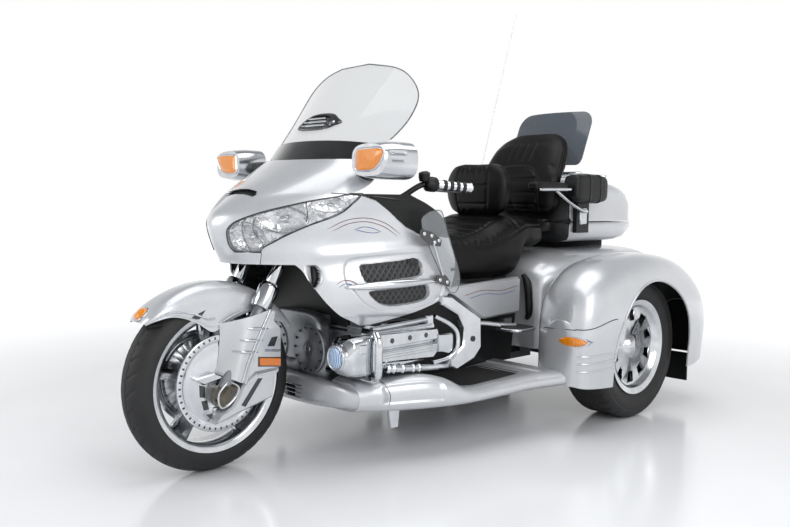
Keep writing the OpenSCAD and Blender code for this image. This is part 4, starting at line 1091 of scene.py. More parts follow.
piece("tip_lamp", [
    (*dome([(36.0, -3), (39.5, -3), (40.5, -1)]), 1),
    (*dome([(40.5, 2), (45, 4), (48, 8), (50, 14), (50.6, 20)]), 0)
], "steering", ["amber_lens", "chrome"], ["fender_lamp"])

# %% [markdown]
# Each fork leg hides behind bright covers. A panel bends from the fender's side round the front of the
# leg: its left and right edges are two curves, and x swells between them as a quarter sine. A plain
# flat cover goes on behind it with an amber reflector, and a polished can caps the leg above.

# %% Fork covers
lean = math.radians(29.25)
over = np.linspace(0, 1, 48)[None, :]
left = path_through([(-8, 520), (-5, 486), (-7, 450), (-10, 414), (-21, 351)], 60)
right = path_through([(155, 560), (125, 504), (92, 442), (65, 386), (41, 320)], 60)


def tongue(u, k, d=0.0):
    """Point on the bent panel: u across from its left edge, k the row down it, d mm inside."""
    x = 77 + (60 - d) * np.sin(np.pi / 2 * np.minimum(1, 1.35 * u))
    spot = left[k] + (right[k] - left[k]) * np.asarray(u)[..., None]
    return np.concatenate([np.broadcast_to(x[..., None], spot[..., :1].shape), spot], -1)


k = np.broadcast_to(np.arange(60)[:, None], (60, 48))
u = np.broadcast_to(over, (60, 48))
covers = [(*shell(tongue(u, k), tongue(u, k, 3.0)), 0)]
covers.append((*plate([
    (150, 557), (183, 555), (176, 523), (206, 491), (206, 396), (201, 354), (97, 349), (54, 318), (44, 322)
], 112, 139, 4.0), 0))
line = np.column_stack([np.full(60, 137.5), right])
covers.append((*tube(line + (0, 3, 0), 5.0, 10), 3))
covers.append((*tube(line + (1.5, 15, -4), 4.0, 10), 0))
covers.append((*plate([(164, 464), (190, 466), (176, 431), (146, 434)], 137, 140, 0.8), 2))
covers.append((*plate([(136, 425), (202, 417), (202, 410), (134, 418)], 137, 143, 1.0), 1))
covers.append((*plate([(108, 402), (203, 390), (203, 356), (108, 368)], 137, 141, 1.0), 2))
covers.append((*plate([(112, 398), (199, 387), (199, 360), (112, 372)], 139, 144.5, 1.5), 4))
blades = []
for y0, z0, y1, z1 in ((68, 503, 150, 495), (43, 465, 128, 457), (19, 428, 108, 418)):
    s = np.linspace(0, 1, 30)
    row = np.clip(np.searchsorted(-right[:, 1], -(z0 + 4)), 0, 59)
    across = (y0 + (y1 - y0) * s - left[row, 0]) / (right[row, 0] - left[row, 0])
    wrap = tongue(np.clip(across, 0, 1), np.full(30, row))
    wrap[:, 1], wrap[:, 2] = y0 + (y1 - y0) * s, z0 + (z1 - z0) * s
    blades.append(
        (*tube(wrap + (1.0, 0, 0), 0.6 + 5.4 * np.sin(np.pi * np.clip(s * 0.93 + 0.04, 0, 1)) ** 0.7, 10), 3)
    )
covers += blades
covers.append((*bolt((113.0, 21, 396), (0.9, -0.4, 0), 8, 5), 1))
s = np.array([282.0, 286, 300, 360, 372, 378, 380])[:, None]
wide = np.array([30.0, 36, 37.5, 37.5, 35, 30, 12])[:, None]
can = grid_of(
    105 + wide * np.cos(v), wide * np.sin(v) * math.cos(lean) + s * math.sin(lean),
    AXLE - wide * np.sin(v) * math.sin(lean) + s * math.cos(lean)
)
covers.append((*loft(can), 1))
piece(
    "leg_covers", mirrored(covers), "steering",
    ["silver_paint", "chrome", "gloss_black", "silver_trim", "amber_lens"], ["fork_covers"]
)

# %% [markdown]
# A bright dished cover hides the brake disc on each side. It is a profile turned about the axle, with a
# ring of forty-four dark slots near its rim and three longer ones by the hub. The calliper behind it
# wears a flat cover with one long slot, and a smoked lens in a bright rim closes the foot.

# %% Brake covers
clouded(
    "smoked_brown", "smoked_brown_plastic", [(0.3, "#2E2A20"), (0.7, "#5A5340")], 60.0, Roughness=0.18,
    Coat_Weight=0.5
)

dish = [
    (22, 69.5), (150, 68.5), (163, 66.0), (167, 68.0), (167.5, 71.0), (166, 74.0), (160, 76.0), (152, 76.4),
    (146, 75.4), (143, 73.6), (136, 73.2), (128, 74.6), (124, 75.6), (70, 76.0), (52, 77.0), (22, 77.0)
]
parts = [(*spun(dish, 160, (0, 0, AXLE)), 0)]
a = circle(44)
corner = np.array([(-3.2, 152), (3.2, 152), (3.2, 161), (-3.2, 161)])
for turn in a:
    c, s = math.cos(turn), math.sin(turn)
    parts.append((*plate(corner @ np.array([[c, s], [-s, c]]) + (0, AXLE), 74, 76.9, 0.4), 1))
for spots in (
    [(-84, 320), (-62, 313), (-62, 274), (-82, 278)], [(-76, 264), (-54, 264), (-47, 232), (-67, 231)],
    [(-58, 215), (-37, 216), (-18, 191), (-30, 186)]
):
    parts.append((*plate(spots, 74, 77.2, 0.5), 1))
calliper = [
    (56, 306), (106, 345), (207, 349), (190, 318), (182, 250), (100, 228), (30, 210), (-49, 188), (-28, 222),
    (14, 238), (38, 270)
]
parts.append((*plate(calliper, 77, 126, 7.0), 2))
parts.append((*plate([(136, 322), (116, 324), (48, 240), (66, 232)], 120, 126.8, 0.6), 1))
parts.append((*plate([(196, 344), (112, 338), (118, 332), (184, 336)], 120, 127.5, 1.2), 0))
leaf = path_through([
    (1, 325), (26, 316), (40, 302), (34, 280), (16, 260), (-6, 246), (-27, 243), (-38, 262), (-36, 292),
    (-18, 314)
], 60, True)
parts.append((*plate(leaf, 78, 134, 12.0), 3))
parts.append((*tube(np.column_stack([np.full(60, 123.0), leaf]), 4.0, 10, True), 0))
parts.append((*plate([(-114, 349), (-39, 359), (-8, 338), (-80, 323)], 74, 104, 5.0), 0))
parts.append((*bolt((77.0, -23, 228), (1, 0, 0), 9, 5), 0))
piece(
    "wheel_covers", mirrored(parts), "steering",
    ["silver_trim", "gloss_black", "silver_paint", "smoked_brown"], ["brake_covers"]
)

# %% [markdown]
# Tyres are turned from their section. The front one is round, the rear ones are square-shouldered. The
# tread is cut as shallow grooves: a wavy line runs round on each side of the middle, and slanted grooves
# repeat toward the shoulders. A real tread is cast by the mould in just this repeating way.


# %% Tyres
def groove(phase, width):
    """One where the phase is within the width of a whole number, fading to nothing beside it."""
    return np.exp(-(((phase + 0.5) % 1.0 - 0.5) / width) ** 2)


def tyre_piece(name, node, body, middle, section, flat, repeats):
    """Turn the section (radius, along) and press the tread where the along value is within the flat."""
    section = np.asarray(section, float)
    along = section[:, 1]

    def tread(a, k):
        s = along[k] / flat
        turns = a / (2 * np.pi) * repeats
        on = step((1.12 - np.abs(s)) * 6) * (section[k, 0] > section[:, 0].max() * 0.88)
        round_line = groove(np.abs(s) - 0.3 - 0.03 * np.sin(2 * np.pi * turns * 2), 0.035) * (np.abs(s) < 0.5)
        slant = groove(turns + 0.55 * np.abs(s) * 1.4 + 0.5 * (s > 0), 0.075) * step((np.abs(s) - 0.36) * 10)
        return -4.0 * on * np.maximum(round_line, slant)

    return piece(name, [spun(section, 540, middle, tread)], body, ["tyre_rubber"], [node], edge=70)


t = np.radians(np.linspace(-128, 128, 97))
front_section = np.column_stack([251 + 65 * np.cos(t), 65 * np.sin(t)])
front_section = front_section[front_section[:, 0] > 244]
front_section = np.concatenate([[(232.5, -46), (243.5, -50)], front_section, [(243.5, 50), (232.5, 46)]])
tyre_piece("front_tyre_round", "front_tyre", "front_wheel", (0, 0, AXLE), front_section, 46.0, 34)
t = np.radians(np.linspace(0, 90, 17))
crown = np.linspace(-68, 68, 61)
side = np.column_stack([208.5 + np.linspace(0, 70, 12), 86.5 + 16 * np.sin(np.linspace(0, np.pi * 0.62, 12))])
corner = np.column_stack([279 + 34 * np.sin(t), 68.5 + 34 * np.cos(t)])
half = np.concatenate([side, corner])
rear_section = np.concatenate([
    [(194.5, -82), (208, -86)], half * (1, -1), np.column_stack([313 - 0.0002 * crown ** 2, crown])[1:-1],
    half[::-1], [(208, 86), (194.5, 82)]
])
for side_name, sign in (("left", 1), ("right", -1)):
    tyre_piece(
        "rear_tyre_square_" + side_name, "rear_tyre_" + side_name, "rear_wheel_" + side_name,
        (sign * REAR[0], *REAR[1:]), rear_section, 88.0, 40
    )
print("front wheel and tyres done")

# %% [markdown]
# The flat engine shows on each side as a polished valve cover in two bands. The upper band has three
# dark bolt holes, the lower one ribs, and a bright rail with a beaded strip runs above them. A chrome
# bar stands in front, and a lower pipe with collars runs back from it. All are plates and tubes.

# %% Engine sides
heads = [(*plate([(426, 374), (712, 374), (712, 492), (426, 492)], 140, 332, 3.0), 1)]
heads += [
    (*plate([(420, z), (718, z), (718, z + 6), (420, z + 6)], 150, 326, 1.0), 1)
    for z in (384, 400, 416, 432, 448, 464, 480)
]
heads.append((*plate(
    [(420, 366), (700, 360), (724, 384), (724, 486), (712, 500), (430, 500), (418, 490)], 322, 390, 8.0, 60
), 0))
heads.append((*plate([(410, 483), (712, 477), (722, 470), (726, 432), (414, 427)], 384, 408, 6.0), 0))
heads.append((*plate([(414, 421), (728, 425), (730, 388), (700, 362), (414, 376)], 384, 405, 8.0), 0))
for z0, z1 in ((408, 412), (399, 403), (390, 394)):
    heads.append(
        (*tube([(404, 424, z0), (404.5, 520, z0 + 1), (404.5, 620, z0 + 2), (404, 716, z1)], 2.6, 8), 0)
    )
heads += [(*bolt((408, y, z), (1, 0, 0), 9.5, 1.2), 2) for y, z in ((486, 452), (573, 454), (656, 455))]
heads += [(
    *tube(path_through([(396, 398, 500), (400, 470, 503), (400, 580, 508), (398, 690, 513)], 40), 8.0, 14), 0
)]
bead = np.linspace(0, 1, 260)
heads.append((*tube(
    np.column_stack([399 + 0 * bead, 412 + 282 * bead, 486 + 6 * bead]),
    4.2 + 1.6 * np.sin(bead * 90 * np.pi), 8
), 3))
heads.append((*plate([(664, 524), (692, 526), (694, 494), (664, 492)], 384, 409, 4.0), 0))
piece(
    "valve_covers", mirrored(heads), "chassis", ["chrome", "cast_alloy", "gloss_black", "disc_steel"],
    ["cylinder_heads"]
)

bars = [tube(path_through([
    (408, 410, 482), (425, 404, 462), (430, 402, 420), (425, 404, 346), (392, 414, 322), (350, 416, 320),
    (142, 416, 320)
], 90), 14.0, 18)]
collar = np.linspace(0, 1, 120)
swell = 13 + 4 * sum(np.exp(-(((collar - at) / 0.012) ** 2)) for at in (0.03, 0.09, 0.2, 0.34, 0.42, 0.93))
bars.append(tube(path_through(
    [(392, 470, 352), (398, 520, 347), (400, 640, 336), (398, 760, 326), (384, 836, 318)], 120
), swell, 16))
bars.append(tube(path_through(
    [(404, 704, 520), (418, 770, 486), (424, 806, 450), (424, 806, 392), (414, 776, 360), (398, 704, 346)], 60
), 8.5, 12))
bars.append(plate([(716, 452), (790, 450), (798, 440), (798, 386), (772, 372), (722, 386)], 396, 416, 5.0))
piece("engine_bars", mirrored(bars), "chassis", ["chrome"], ["crash_bars"])

pipes = [tube(path_through(
    [(262, 470, 372), (262, 470, 346), (182, 590, 332), (171, 660, 300), (170, 760, 286)], 60
), 24.0, 20)]
along = np.array([700, 722, 760, 1180, 1214, 1230, 1232])
pipes.append(tube(
    np.column_stack([np.full(7, 170.0), along, np.full(7, 286.0)]), [24.5, 26, 28.5, 28.5, 27, 25, 20], 28
))
piece("exhaust_pipes", mirrored(pipes), "chassis", ["chrome"], ["exhaust"])

# %% [markdown]
# Ahead of each cylinder a bright housing holds a round blue-tinted lamp. The housing starts as a circle
# round the lens and squares off toward the engine, so it is a loft whose superellipse power rises. The
# engine's front wears a grey cover with a ring of bolts, and a dark grille closes the cowl below it.

# %% Front of the engine
v = circle(72)[None, :]
COWL = np.array([
    # y, centre x, half width, centre z, half height, power
    [284, 343, 41, 406, 41, 2.0], [288, 343, 47, 406, 47, 2.0], [296, 343, 51, 406, 52, 2.2],
    [304, 343, 56, 406, 58, 2.8], [318, 344, 61, 406, 65, 4.0], [360, 345, 62, 406, 69, 5.0],
    [419, 345, 61, 406, 70, 5.0],
], float)
y = np.concatenate([np.linspace(284, 320, 26), np.linspace(324, 419, 24)])[:, None]
cx, w, cz, h, n = (through(COWL, y, c) for c in range(1, 6))
cowl = grid_of(cx + w * power(np.cos(v), 2 / n), y, cz + h * power(np.sin(v), 2 / n))
hood = [(*loft(cowl), 0)]
hood.append((*plate([(334, 420), (366, 420), (366, 452), (334, 452)], 400, 410, 4.0), 3))
u = np.array([0.0, 0.25, 0.5, 0.75, 0.95, 1.0])[:, None]
lens = grid_of(
    343 + 38 * np.cos(v) * np.sqrt(1 - u * u * 0.98), 284 - 12 * u,
    406 + 38 * np.sin(v) * np.sqrt(1 - u * u * 0.98)
)
bezel = tube(
    np.column_stack([343 + 41 * np.cos(v[0]), np.full(72, 283.0), 406 + 41 * np.sin(v[0])]), 4.5, 10, True
)
hood.append((*bezel, 0))
hood.append((*bolt((356, 330, 345), (0.3, -1, -0.4), 16, 2), 2))
piece(
    "lamp_housings", mirrored(hood), "chassis", ["chrome", "cast_alloy", "gloss_black", "silver_trim"],
    ["lamp_cowls"]
)
piece("fog_lenses", mirrored([loft(lens)]), "chassis", ["fog_glass"], ["fog_lamps"])

# rows of y, half width, low, high
block = np.array(
    [[352, 150, 352, 520], [356, 158, 350, 528], [366, 162, 348, 532], [400, 162, 348, 532]], float
)
y = np.linspace(352, 400, 16)[:, None]
w, low, high = (through(block, y, c) for c in range(1, 4))
front = [(*loft(
    grid_of(w * power(np.cos(v), 0.5), y, (low + high) / 2 + (high - low) / 2 * power(np.sin(v), 0.5))
), 0)]
for side in (-1, 1):
    spot = np.array([side * 110.0, 362.0, 398.0])
    rows = np.array([
        (0, 90), (-12, 90), (-15, 87), (-15, 36), (-17, 33), (-17, 20), (-15, 18), (-15, 11), (-18, 9)
    ], float)
    front.append((*loft(grid_of(
        spot[0] + rows[:, 1:] * np.cos(v), spot[1] + rows[:, :1] + 0 * v, spot[2] + rows[:, 1:] * np.sin(v)
    )), 0))
    for turn in circle(14):
        front.append((*bolt(spot + (78 * math.cos(turn), -15, 78 * math.sin(turn)), (0, -1, 0), 5, 4), 1))
piece("engine_face", front, "chassis", ["cast_alloy", "black_steel"], ["engine_front_cover"])

# rows of y, half width, low, high
cowl_rows = np.array([
    [326, 112, 208, 268], [332, 168, 200, 288], [346, 236, 195, 298], [364, 306, 193, 298],
    [384, 352, 192, 292]
], float)
y = np.concatenate([np.linspace(326, 334, 10), np.linspace(336, 384, 24)])[:, None]
w, low, high = (through(cowl_rows, y, c) for c in range(1, 4))
nose = grid_of(
    w * power(np.cos(v), 2 / 3.4), y, (low + high) / 2 + (high - low) / 2 * power(np.sin(v), 2 / 3.4)
)
chin = [(*loft(nose), 0)]
z, x = np.linspace(216, 262, 8)[:, None], np.linspace(-98, 98, 40)[None, :]
chin.append((*shell(grid_of(x, 324.5 + 0.0004 * x * x, z), grid_of(x, 327.0 + 0.0004 * x * x, z)), 1))
for z in (216, 232, 247, 262):
    chin.append((*tube(
        grid_of(np.linspace(-100, 100, 40), 323.5 + 0.0004 * np.linspace(-100, 100, 40) ** 2, z), 2.6, 8
    ), 2))
piece("engine_cowl", chin, "chassis", ["silver_paint", "gloss_black", "silver_trim"], ["lower_cowl"])

# %% [markdown]
# The running boards are long painted shells from the cowl to the rear fender. Each section is a closed
# smooth curve through twelve points, and the points follow rows of outer edge, underside and top. A
# shallow panel is pressed into the front of the outer side, and a ribbed rubber mat lies on top.


# %% Running boards
def round_off(rings, count):
    """Closed smooth curves through the points of each ring, all rings at once (uniform cubic between
    points)."""
    n = rings.shape[1]
    s = np.linspace(0, n, count, endpoint=False)
    i, t = np.floor(s).astype(int), (s % 1)[None, :, None]
    a, b, c, d = (rings[:, (i + k) % n] for k in (-1, 0, 1, 2))
    return b + 0.5 * t * (c - a + t * (2 * a - 5 * b + 4 * c - d + t * (3 * (b - c) + d - a)))


BOARD = np.array([
    # y, outer x, underside, top
    [385, 352, 193, 294], [470, 404, 191, 310], [608, 470, 190, 318], [700, 500, 190, 300],
    [800, 516, 190, 256], [1000, 524, 190, 252], [1150, 540, 193, 256], [1286, 590, 200, 262],
], float)
y = np.linspace(385, 1286, 150)
xo, z0, z1 = (through(BOARD, y, c) for c in range(1, 4))
h = z1 - z0
edge = [
    (200 + 0 * y, z0 + 8), (212 + 0 * y, z0), (xo - 90, z0), (xo - 34, z0 + 0.04 * h),
    (xo - 8, z0 + 0.22 * h), (xo, z0 + 0.45 * h), (xo - 6, z0 + 0.72 * h), (xo - 26, z0 + 0.92 * h),
    (xo - 52, z1), (xo - 90, z1), (212 + 0 * y, z1), (200 + 0 * y, z1 - 8)
]
rings = round_off(np.stack([np.stack([a, y, b], -1) for a, b in edge], 1), 108)
high = (rings[..., 2] - z0[:, None]) / h[:, None]
press = (
    step((rings[..., 1] - 452) / 22) * step((684 - rings[..., 1]) / 22) * step((high - 0.26) / 0.1)
    * step((0.86 - high) / 0.1) * (rings[..., 0] > xo[:, None] - 70)
)
rings[..., 0] -= 8 * press
sunk = (
    step((rings[..., 1] - 742) / 6) * step((1238 - rings[..., 1]) / 6) * (high > 0.93)
    * (rings[..., 0] < xo[:, None] - 60)
)
rings[..., 2] -= 6 * sunk
boards = [(*loft(rings), 0)]
board_seam = path_through([(353, 470, 304), (392, 466, 298), (414, 474, 262), (410, 474, 226)], 40)
x, yy = np.linspace(216, 440, 60)[:, None], np.linspace(750, 1230, 120)[None, :]
top = 250 + 0 * x + 0 * yy + 2.2 * groove(yy / 24, 0.22) * step((x - 220) / 10) * step((436 - x) / 10)
mat = shell(grid_of(x, yy, top), grid_of(x, yy, top * 0 + 243))
boards.append((*mat, 1))
boards.append((*tube(board_seam, 1.4, 6), 2))
boards.append((*bolt((383, 446, 262), (1, -0.6, 0.2), 5, 3), 2))
piece(
    "running_board_shells", mirrored(boards), "chassis", ["silver_paint", "black_rubber", "gloss_black"],
    ["running_boards"]
)
piece(
    "stand_legs", mirrored([plate([(528, 194), (583, 194), (576, 116), (540, 118)], 338, 352, 3.0)]),
    "chassis", ["silver_trim"]
)
print("engine and boards done")

# %% [markdown]
# The seat, both backrests and the arm pads are leather over foam. Each starts as a loft a little smaller
# than its place, is remeshed to even squares, and is blown up by a cloth simulation with a little
# pressure. A cap keeps every point near its start, and where the pad rests on something it stays flat.
# Seams are pressed in afterwards, because squares of five millimetres can't hold them from the start.


# %% Padding by simulation
PRESSURE, FRAMES = 4.0, 20  # of the cloth simulation


def seam(distance, width=6.0):
    """A sewn line: a soft valley of that half width where the distance is zero, with a small ridge on
    each side."""
    return (
        np.exp(-((distance / width) ** 2)) - 0.45 * np.exp(-(((np.abs(distance) - 2.2 * width) / width) ** 2))
    )


def plumped(name, rings, node, body, cap, depth, square=0.006, resting=None):
    """A padded piece: loft, even remesh, smoothing, pressure for twenty frames, capped, then sewn to a
    depth in mm."""
    made = piece(name, [loft(r) for r in rings], body, ["black_leather"], [node] if node else [])
    even = made.modifiers.new("even_squares", "REMESH")
    even.mode, even.voxel_size = "VOXEL", square
    soft = made.modifiers.new("soft_edges", "SMOOTH")
    soft.factor, soft.iterations = 0.5, 6
    mesh = bpy.data.meshes.new_from_object(made.evaluated_get(bpy.context.evaluated_depsgraph_get()))
    made.modifiers.clear()
    mesh.name, made.data = name, mesh
    mesh.materials.clear()
    mesh.materials.append(finishes["black_leather"])
    start = np.empty(len(mesh.vertices) * 3, np.float32)
    mesh.vertices.foreach_get("co", start)
    place = start.reshape(-1, 3).astype(float)
    cloth = made.modifiers.new("filling", "CLOTH")
    cloth.settings.use_pressure, cloth.settings.uniform_pressure_force = True, PRESSURE
    cloth.settings.effector_weights.gravity = 0.0
    for frame_number in range(1, FRAMES + 1):
        bpy.context.scene.frame_set(frame_number)
    swollen = made.evaluated_get(bpy.context.evaluated_depsgraph_get()).to_mesh()
    grown = np.empty_like(start)
    swollen.vertices.foreach_get("co", grown)
    made.modifiers.clear()
    bpy.context.scene.frame_set(1)
    move = grown.reshape(-1, 3) - place
    far = np.maximum(np.linalg.norm(move, axis=1, keepdims=True), 1e-9)
    move *= np.minimum(1.0, cap / METRE / far)
    place = place + (move * resting(place)[:, None] if resting else move)
    mesh.vertices.foreach_set("co", place.astype(np.float32).ravel())
    mesh.update()
    facing = np.empty(len(mesh.vertices) * 3, np.float32)
    mesh.vertex_normals.foreach_get("vector", facing)
    facing = facing.reshape(-1, 3)
    spot = place * METRE + (0.0, MID, 0.0)
    place = place - facing * (depth(spot, facing) / METRE)[:, None]
    mesh.vertices.foreach_set("co", place.astype(np.float32).ravel())
    mesh.update()
    mesh.shade_smooth()
    print(name, "padded:", len(mesh.vertices), "vertices")
    return made


# %% [markdown]
# The saddle is one pad with a step up to the passenger. Across the top run sewn channels, a seam goes
# round each insert, and another follows the side where the top meets the skirt. Each is a distance to
# a line, and the deepest one at a point wins.

# %% Seat
CUSHION = np.array([
    # y, half width, low, high
    [936, 116, 662, 796], [960, 146, 640, 808], [1040, 186, 606, 802], [1140, 210, 606, 804],
    [1240, 228, 606, 824], [1330, 236, 606, 862], [1400, 238, 606, 880], [1430, 238, 644, 880],
    [1470, 236, 734, 878], [1540, 232, 735, 872], [1600, 220, 736, 868], [1615, 210, 739, 858],
], float)
t = circle(90)[None, :]


def pad_rings(rows, keys, less):
    """Superellipse sections across the length, smaller by less all round: y, half width, low, high."""
    y = np.asarray(keys, float)[:, None]
    w, low, high = (through(rows, y, c) for c in (1, 2, 3))
    return grid_of(
        (w - less) * power(np.cos(t), 0.5), y,
        (low + high) / 2 + ((high - low) / 2 - less) * power(np.sin(t), 0.5)
    )


def seat_seams(p, n):
    """Depth of sewing in mm: channels across the inserts, seams round them, and the line along the skirt."""
    x, y, z = np.abs(p[:, 0]), p[:, 1], p[:, 2]
    up = step((n[:, 2] - 0.25) / 0.3)
    rider = step((1336 - y) / 14) * step((y - 1000) / 14)
    rear = step((1598 - y) / 10) * step((y - 1446) / 10)
    across = (
        seam(((y - 1020) % 56) - 28) * rider * step((152 - x) / 10)
        + seam(((y - 1446) % 50) - 25) * rear * step((176 - x) / 10)
    )
    round_it = (
        seam(x - 156) * rider + seam(x - 180) * rear + seam(y - 1002) * step((156 - x) / 8)
        + seam(y - 1340) * step((156 - x) / 8)
    )
    skirt = seam(
        z - np.interp(y, [940, 1040, 1240, 1330, 1400, 1470, 1616], [748, 742, 750, 778, 806, 836, 836]), 5.0
    ) * step((0.75 - np.abs(n[:, 2])) / 0.2)
    tucks = (
        seam(((y - 1010) % 64) - 32, 7.0) * step((y - 1040) / 20) * step((1300 - y) / 20)
        * step((z - 756) / 12) * step((0.8 - n[:, 2]) / 0.3)
    )
    split = seam(y - 1412, 8.0) * step((n[:, 2] - 0.2) / 0.2)
    return 5.0 * up * np.maximum(across, round_it) + 4.0 * skirt + 3.0 * tucks + 5.0 * split


def seat_rests(place):
    """How freely a point may move: not at all low down or against the body, fully on top."""
    return step((place[:, 2] - 0.70) / 0.06)


keys = np.concatenate([np.linspace(936, 960, 8), np.linspace(970, 1590, 60), np.linspace(1594, 1615, 8)])
plumped(
    "leather_saddle", [pad_rings(CUSHION, keys, 1.0)], "seat", "chassis", 5.0, seat_seams, 0.006, seat_rests
)

# %% [markdown]
# The two backrests are upright pads: sections level with the floor, stacked along the height. The
# rider's has side wings, a middle panel and a cross seam, the passenger's a tall arched panel with
# channels, and both have short tucks along the top.


# %% Backrests and arm pads
def rest_rings(rows, keys, less, n):
    """Level superellipse sections, smaller by less all round: height, front, back, half width."""
    z = np.asarray(keys, float)[:, None]
    front, back, w = (through(rows, z, c) for c in (1, 2, 3))
    return grid_of(
        (w - less) * power(np.cos(t), 2 / n),
        (front + back) / 2 + ((back - front) / 2 - less) * power(np.sin(t), 2 / n), z
    )


def rider_seams(p, n):
    """Panel lines on the front, a cross seam, a rim seam along the side and tucks along the top."""
    x, z, ahead = np.abs(p[:, 0]), p[:, 2], step((-n[:, 1] - 0.2) / 0.3)
    panel = seam(x - 92 + 0.0012 * (z - 1000) ** 2)
    cross = seam(z - 1012) * step((94 - x) / 8) + seam(z - 930) * step((94 - x) / 8)
    tucks = (
        seam((p[:, 0] % 34) - 17, 5.0) * step((z - 1050) / 20) * step((1104 - z) / 10) * step((90 - x) / 10)
    )
    rim = seam(p[:, 1] - 1404, 5.0) * step((x - 120) / 20)
    return ahead * (5.0 * np.maximum(panel, cross) + 3.0 * tucks) + 4.0 * rim


def passenger_seams(p, n):
    """An arched panel on the front with two cross seams, tucks over it and a rim seam along the side."""
    x, z, ahead = np.abs(p[:, 0]), p[:, 2], step((-n[:, 1] - 0.15) / 0.3)
    arch = seam(140 * ((x / 140) ** 3 + np.abs((np.maximum(z, 985) - 985) / 125) ** 3) ** (1 / 3) - 140)
    cross = (seam(z - 1052) + seam(z - 985) + seam(z - 930)) * step((138 - x) / 8)
    tucks = (
        seam((p[:, 0] % 46) - 23, 6.0) * step((z - 1120) / 20) * step((1230 - z) / 14) * step((110 - x) / 14)
    )
    rim = seam(p[:, 1] - through(REST2, z, 1) - 52, 6.0) * step((x - 90) / 40)
    return ahead * (5.0 * np.maximum(arch, cross) + 2.5 * tucks) + 4.5 * rim


# rows of height, front y, back y, half width, for both backrests
REST1 = np.array([
    [874, 1376, 1436, 112], [910, 1362, 1446, 160], [980, 1352, 1450, 182], [1050, 1354, 1450, 176],
    [1100, 1368, 1446, 140], [1113, 1388, 1436, 96]
], float)
REST2 = np.array([
    [897, 1662, 1750, 188], [920, 1650, 1760, 218], [1000, 1648, 1762, 232], [1046, 1656, 1763, 233],
    [1080, 1668, 1786, 232], [1160, 1712, 1830, 218], [1230, 1764, 1872, 176], [1269, 1806, 1886, 110],
], float)
keys = np.concatenate([np.linspace(874, 910, 10), np.linspace(920, 1090, 30), np.linspace(1095, 1113, 8)])
plumped(
    "rider_back_pad", [rest_rings(REST1, keys, 4.0, 3.0)], "rider_backrest", "chassis", 5.0, rider_seams,
    0.005
)
keys = np.concatenate([np.linspace(897, 920, 8), np.linspace(930, 1240, 50), np.linspace(1245, 1269, 8)])
plumped(
    "passenger_back_pad", [rest_rings(REST2, keys, 4.0, 3.2)], "passenger_backrest", "trunk_top", 5.0,
    passenger_seams, 0.006, lambda p: step((0.76 - p[:, 1]) / 0.03)
)

# rows of y, half width, half height
PAD = np.array(
    [[1421, 18, 9], [1428, 27, 17], [1450, 32, 21], [1640, 32, 21], [1662, 27, 17], [1669, 18, 9]], float
)
keys = np.concatenate([np.linspace(1421, 1450, 10), np.linspace(1460, 1640, 20), np.linspace(1644, 1669, 10)])
y = keys[:, None]
pads = [
    grid_of(
        side * 288 + (through(PAD, y, 1) - 2) * power(np.cos(t), 0.62), y,
        1012 + (through(PAD, y, 2) - 2) * power(np.sin(t), 0.62)
    ) for side in (-1, 1)
]


def arm_seams(p, n):
    """Depth of one seam along the side of each arm pad, in mm."""
    return 3.0 * seam(p[:, 2] - 1010, 4.0) * step((0.7 - np.abs(n[:, 2])) / 0.2)


plumped("arm_pads", pads, None, "chassis", 3.0, arm_seams, 0.005)
arms = [tube(path_through([
    (288, 1600, 996), (292, 1640, 972), (300, 1720, 930), (300, 1790, 906), (298, 1820, 902),
    (288, 1846, 900), (269, 1850, 900)
], 60), 8.0, 14)]
arms.append(tube(path_through(
    [(314, 1440, 996), (318, 1452, 997), (319, 1560, 999), (318, 1668, 1001), (314, 1682, 1002)], 30
), [6] * 2 + [8] * 26 + [6] * 2, 12))
arms.append(plate([
    (1828, 918), (1872, 918), (1878, 906), (1878, 846), (1870, 838), (1830, 838), (1822, 848), (1822, 906)
], 262, 272, 4.0))
piece("arm_bars", mirrored(arms), "chassis", ["chrome"], ["armrests"])
print("soft goods done")

# %% [markdown]
# The rear body is a low centre hump between two round fenders. A fender section climbs straight from
# the skirt, turns over the crown as a superellipse and comes down inside. Along the wheel its outer
# edge starts at the arch instead of the skirt, so the opening is part of the grid and its edge is clean.


# %% Rear fenders
FENDER = np.array([
    # y, inner x, outer x, skirt z, crown z
    [1288, 470, 632, 206, 470], [1302, 440, 656, 201, 540], [1340, 408, 680, 197, 612],
    [1420, 386, 700, 194, 672], [1520, 376, 709, 192, 704], [1700, 370, 712, 190, 722],
    [1880, 370, 712, 190, 721], [2060, 372, 708, 194, 692], [2200, 378, 694, 202, 628],
    [2300, 390, 666, 214, 545], [2335, 412, 636, 224, 480],
], float)
ARCH, HUB = 314.0, (REAR[1], 297.0)  # radius of the wheel arch, and its middle (y, z), mm


def fender_point(y, z, s, d=0.0):
    """Fender surface at y, from the outer height z (s = 0) over the crown to the inner skirt (s = 1),
    pushed d mm outward."""
    xi, xo, low, top = (through(FENDER, y, c) for c in range(1, 5))
    spring, half = (low + top) / 2, (xo - xi) / 2
    turn = np.arcsin(np.clip((z - spring) / (top - spring), 0, 1) ** 1.25)
    start = np.where(z < spring, 0.2 * (z - low) / (spring - low), 0.2 + 0.7 * turn / np.pi)
    q = start + (1 - start) * s
    a = np.clip((q - 0.2) / 0.7, 0, 1) * np.pi
    x = (xi + xo) / 2 + half * power(np.cos(a), 0.75) - 14 * np.clip(1 - q / 0.2, 0, 1)
    rise = spring + (top - spring) * np.maximum(np.sin(a), 0) ** 0.8
    z = np.where(
        q < 0.2, low + q / 0.2 * (spring - low),
        np.where(q > 0.9, spring - (q - 0.9) / 0.1 * (spring - low), rise)
    )
    cx, cz = x - (xi + xo) / 2, z - spring
    far = np.hypot(cx, np.maximum(cz, 0)) + 1e-9
    return grid_of(x + d * cx / far, y, z + d * np.maximum(cz, 0) / far)


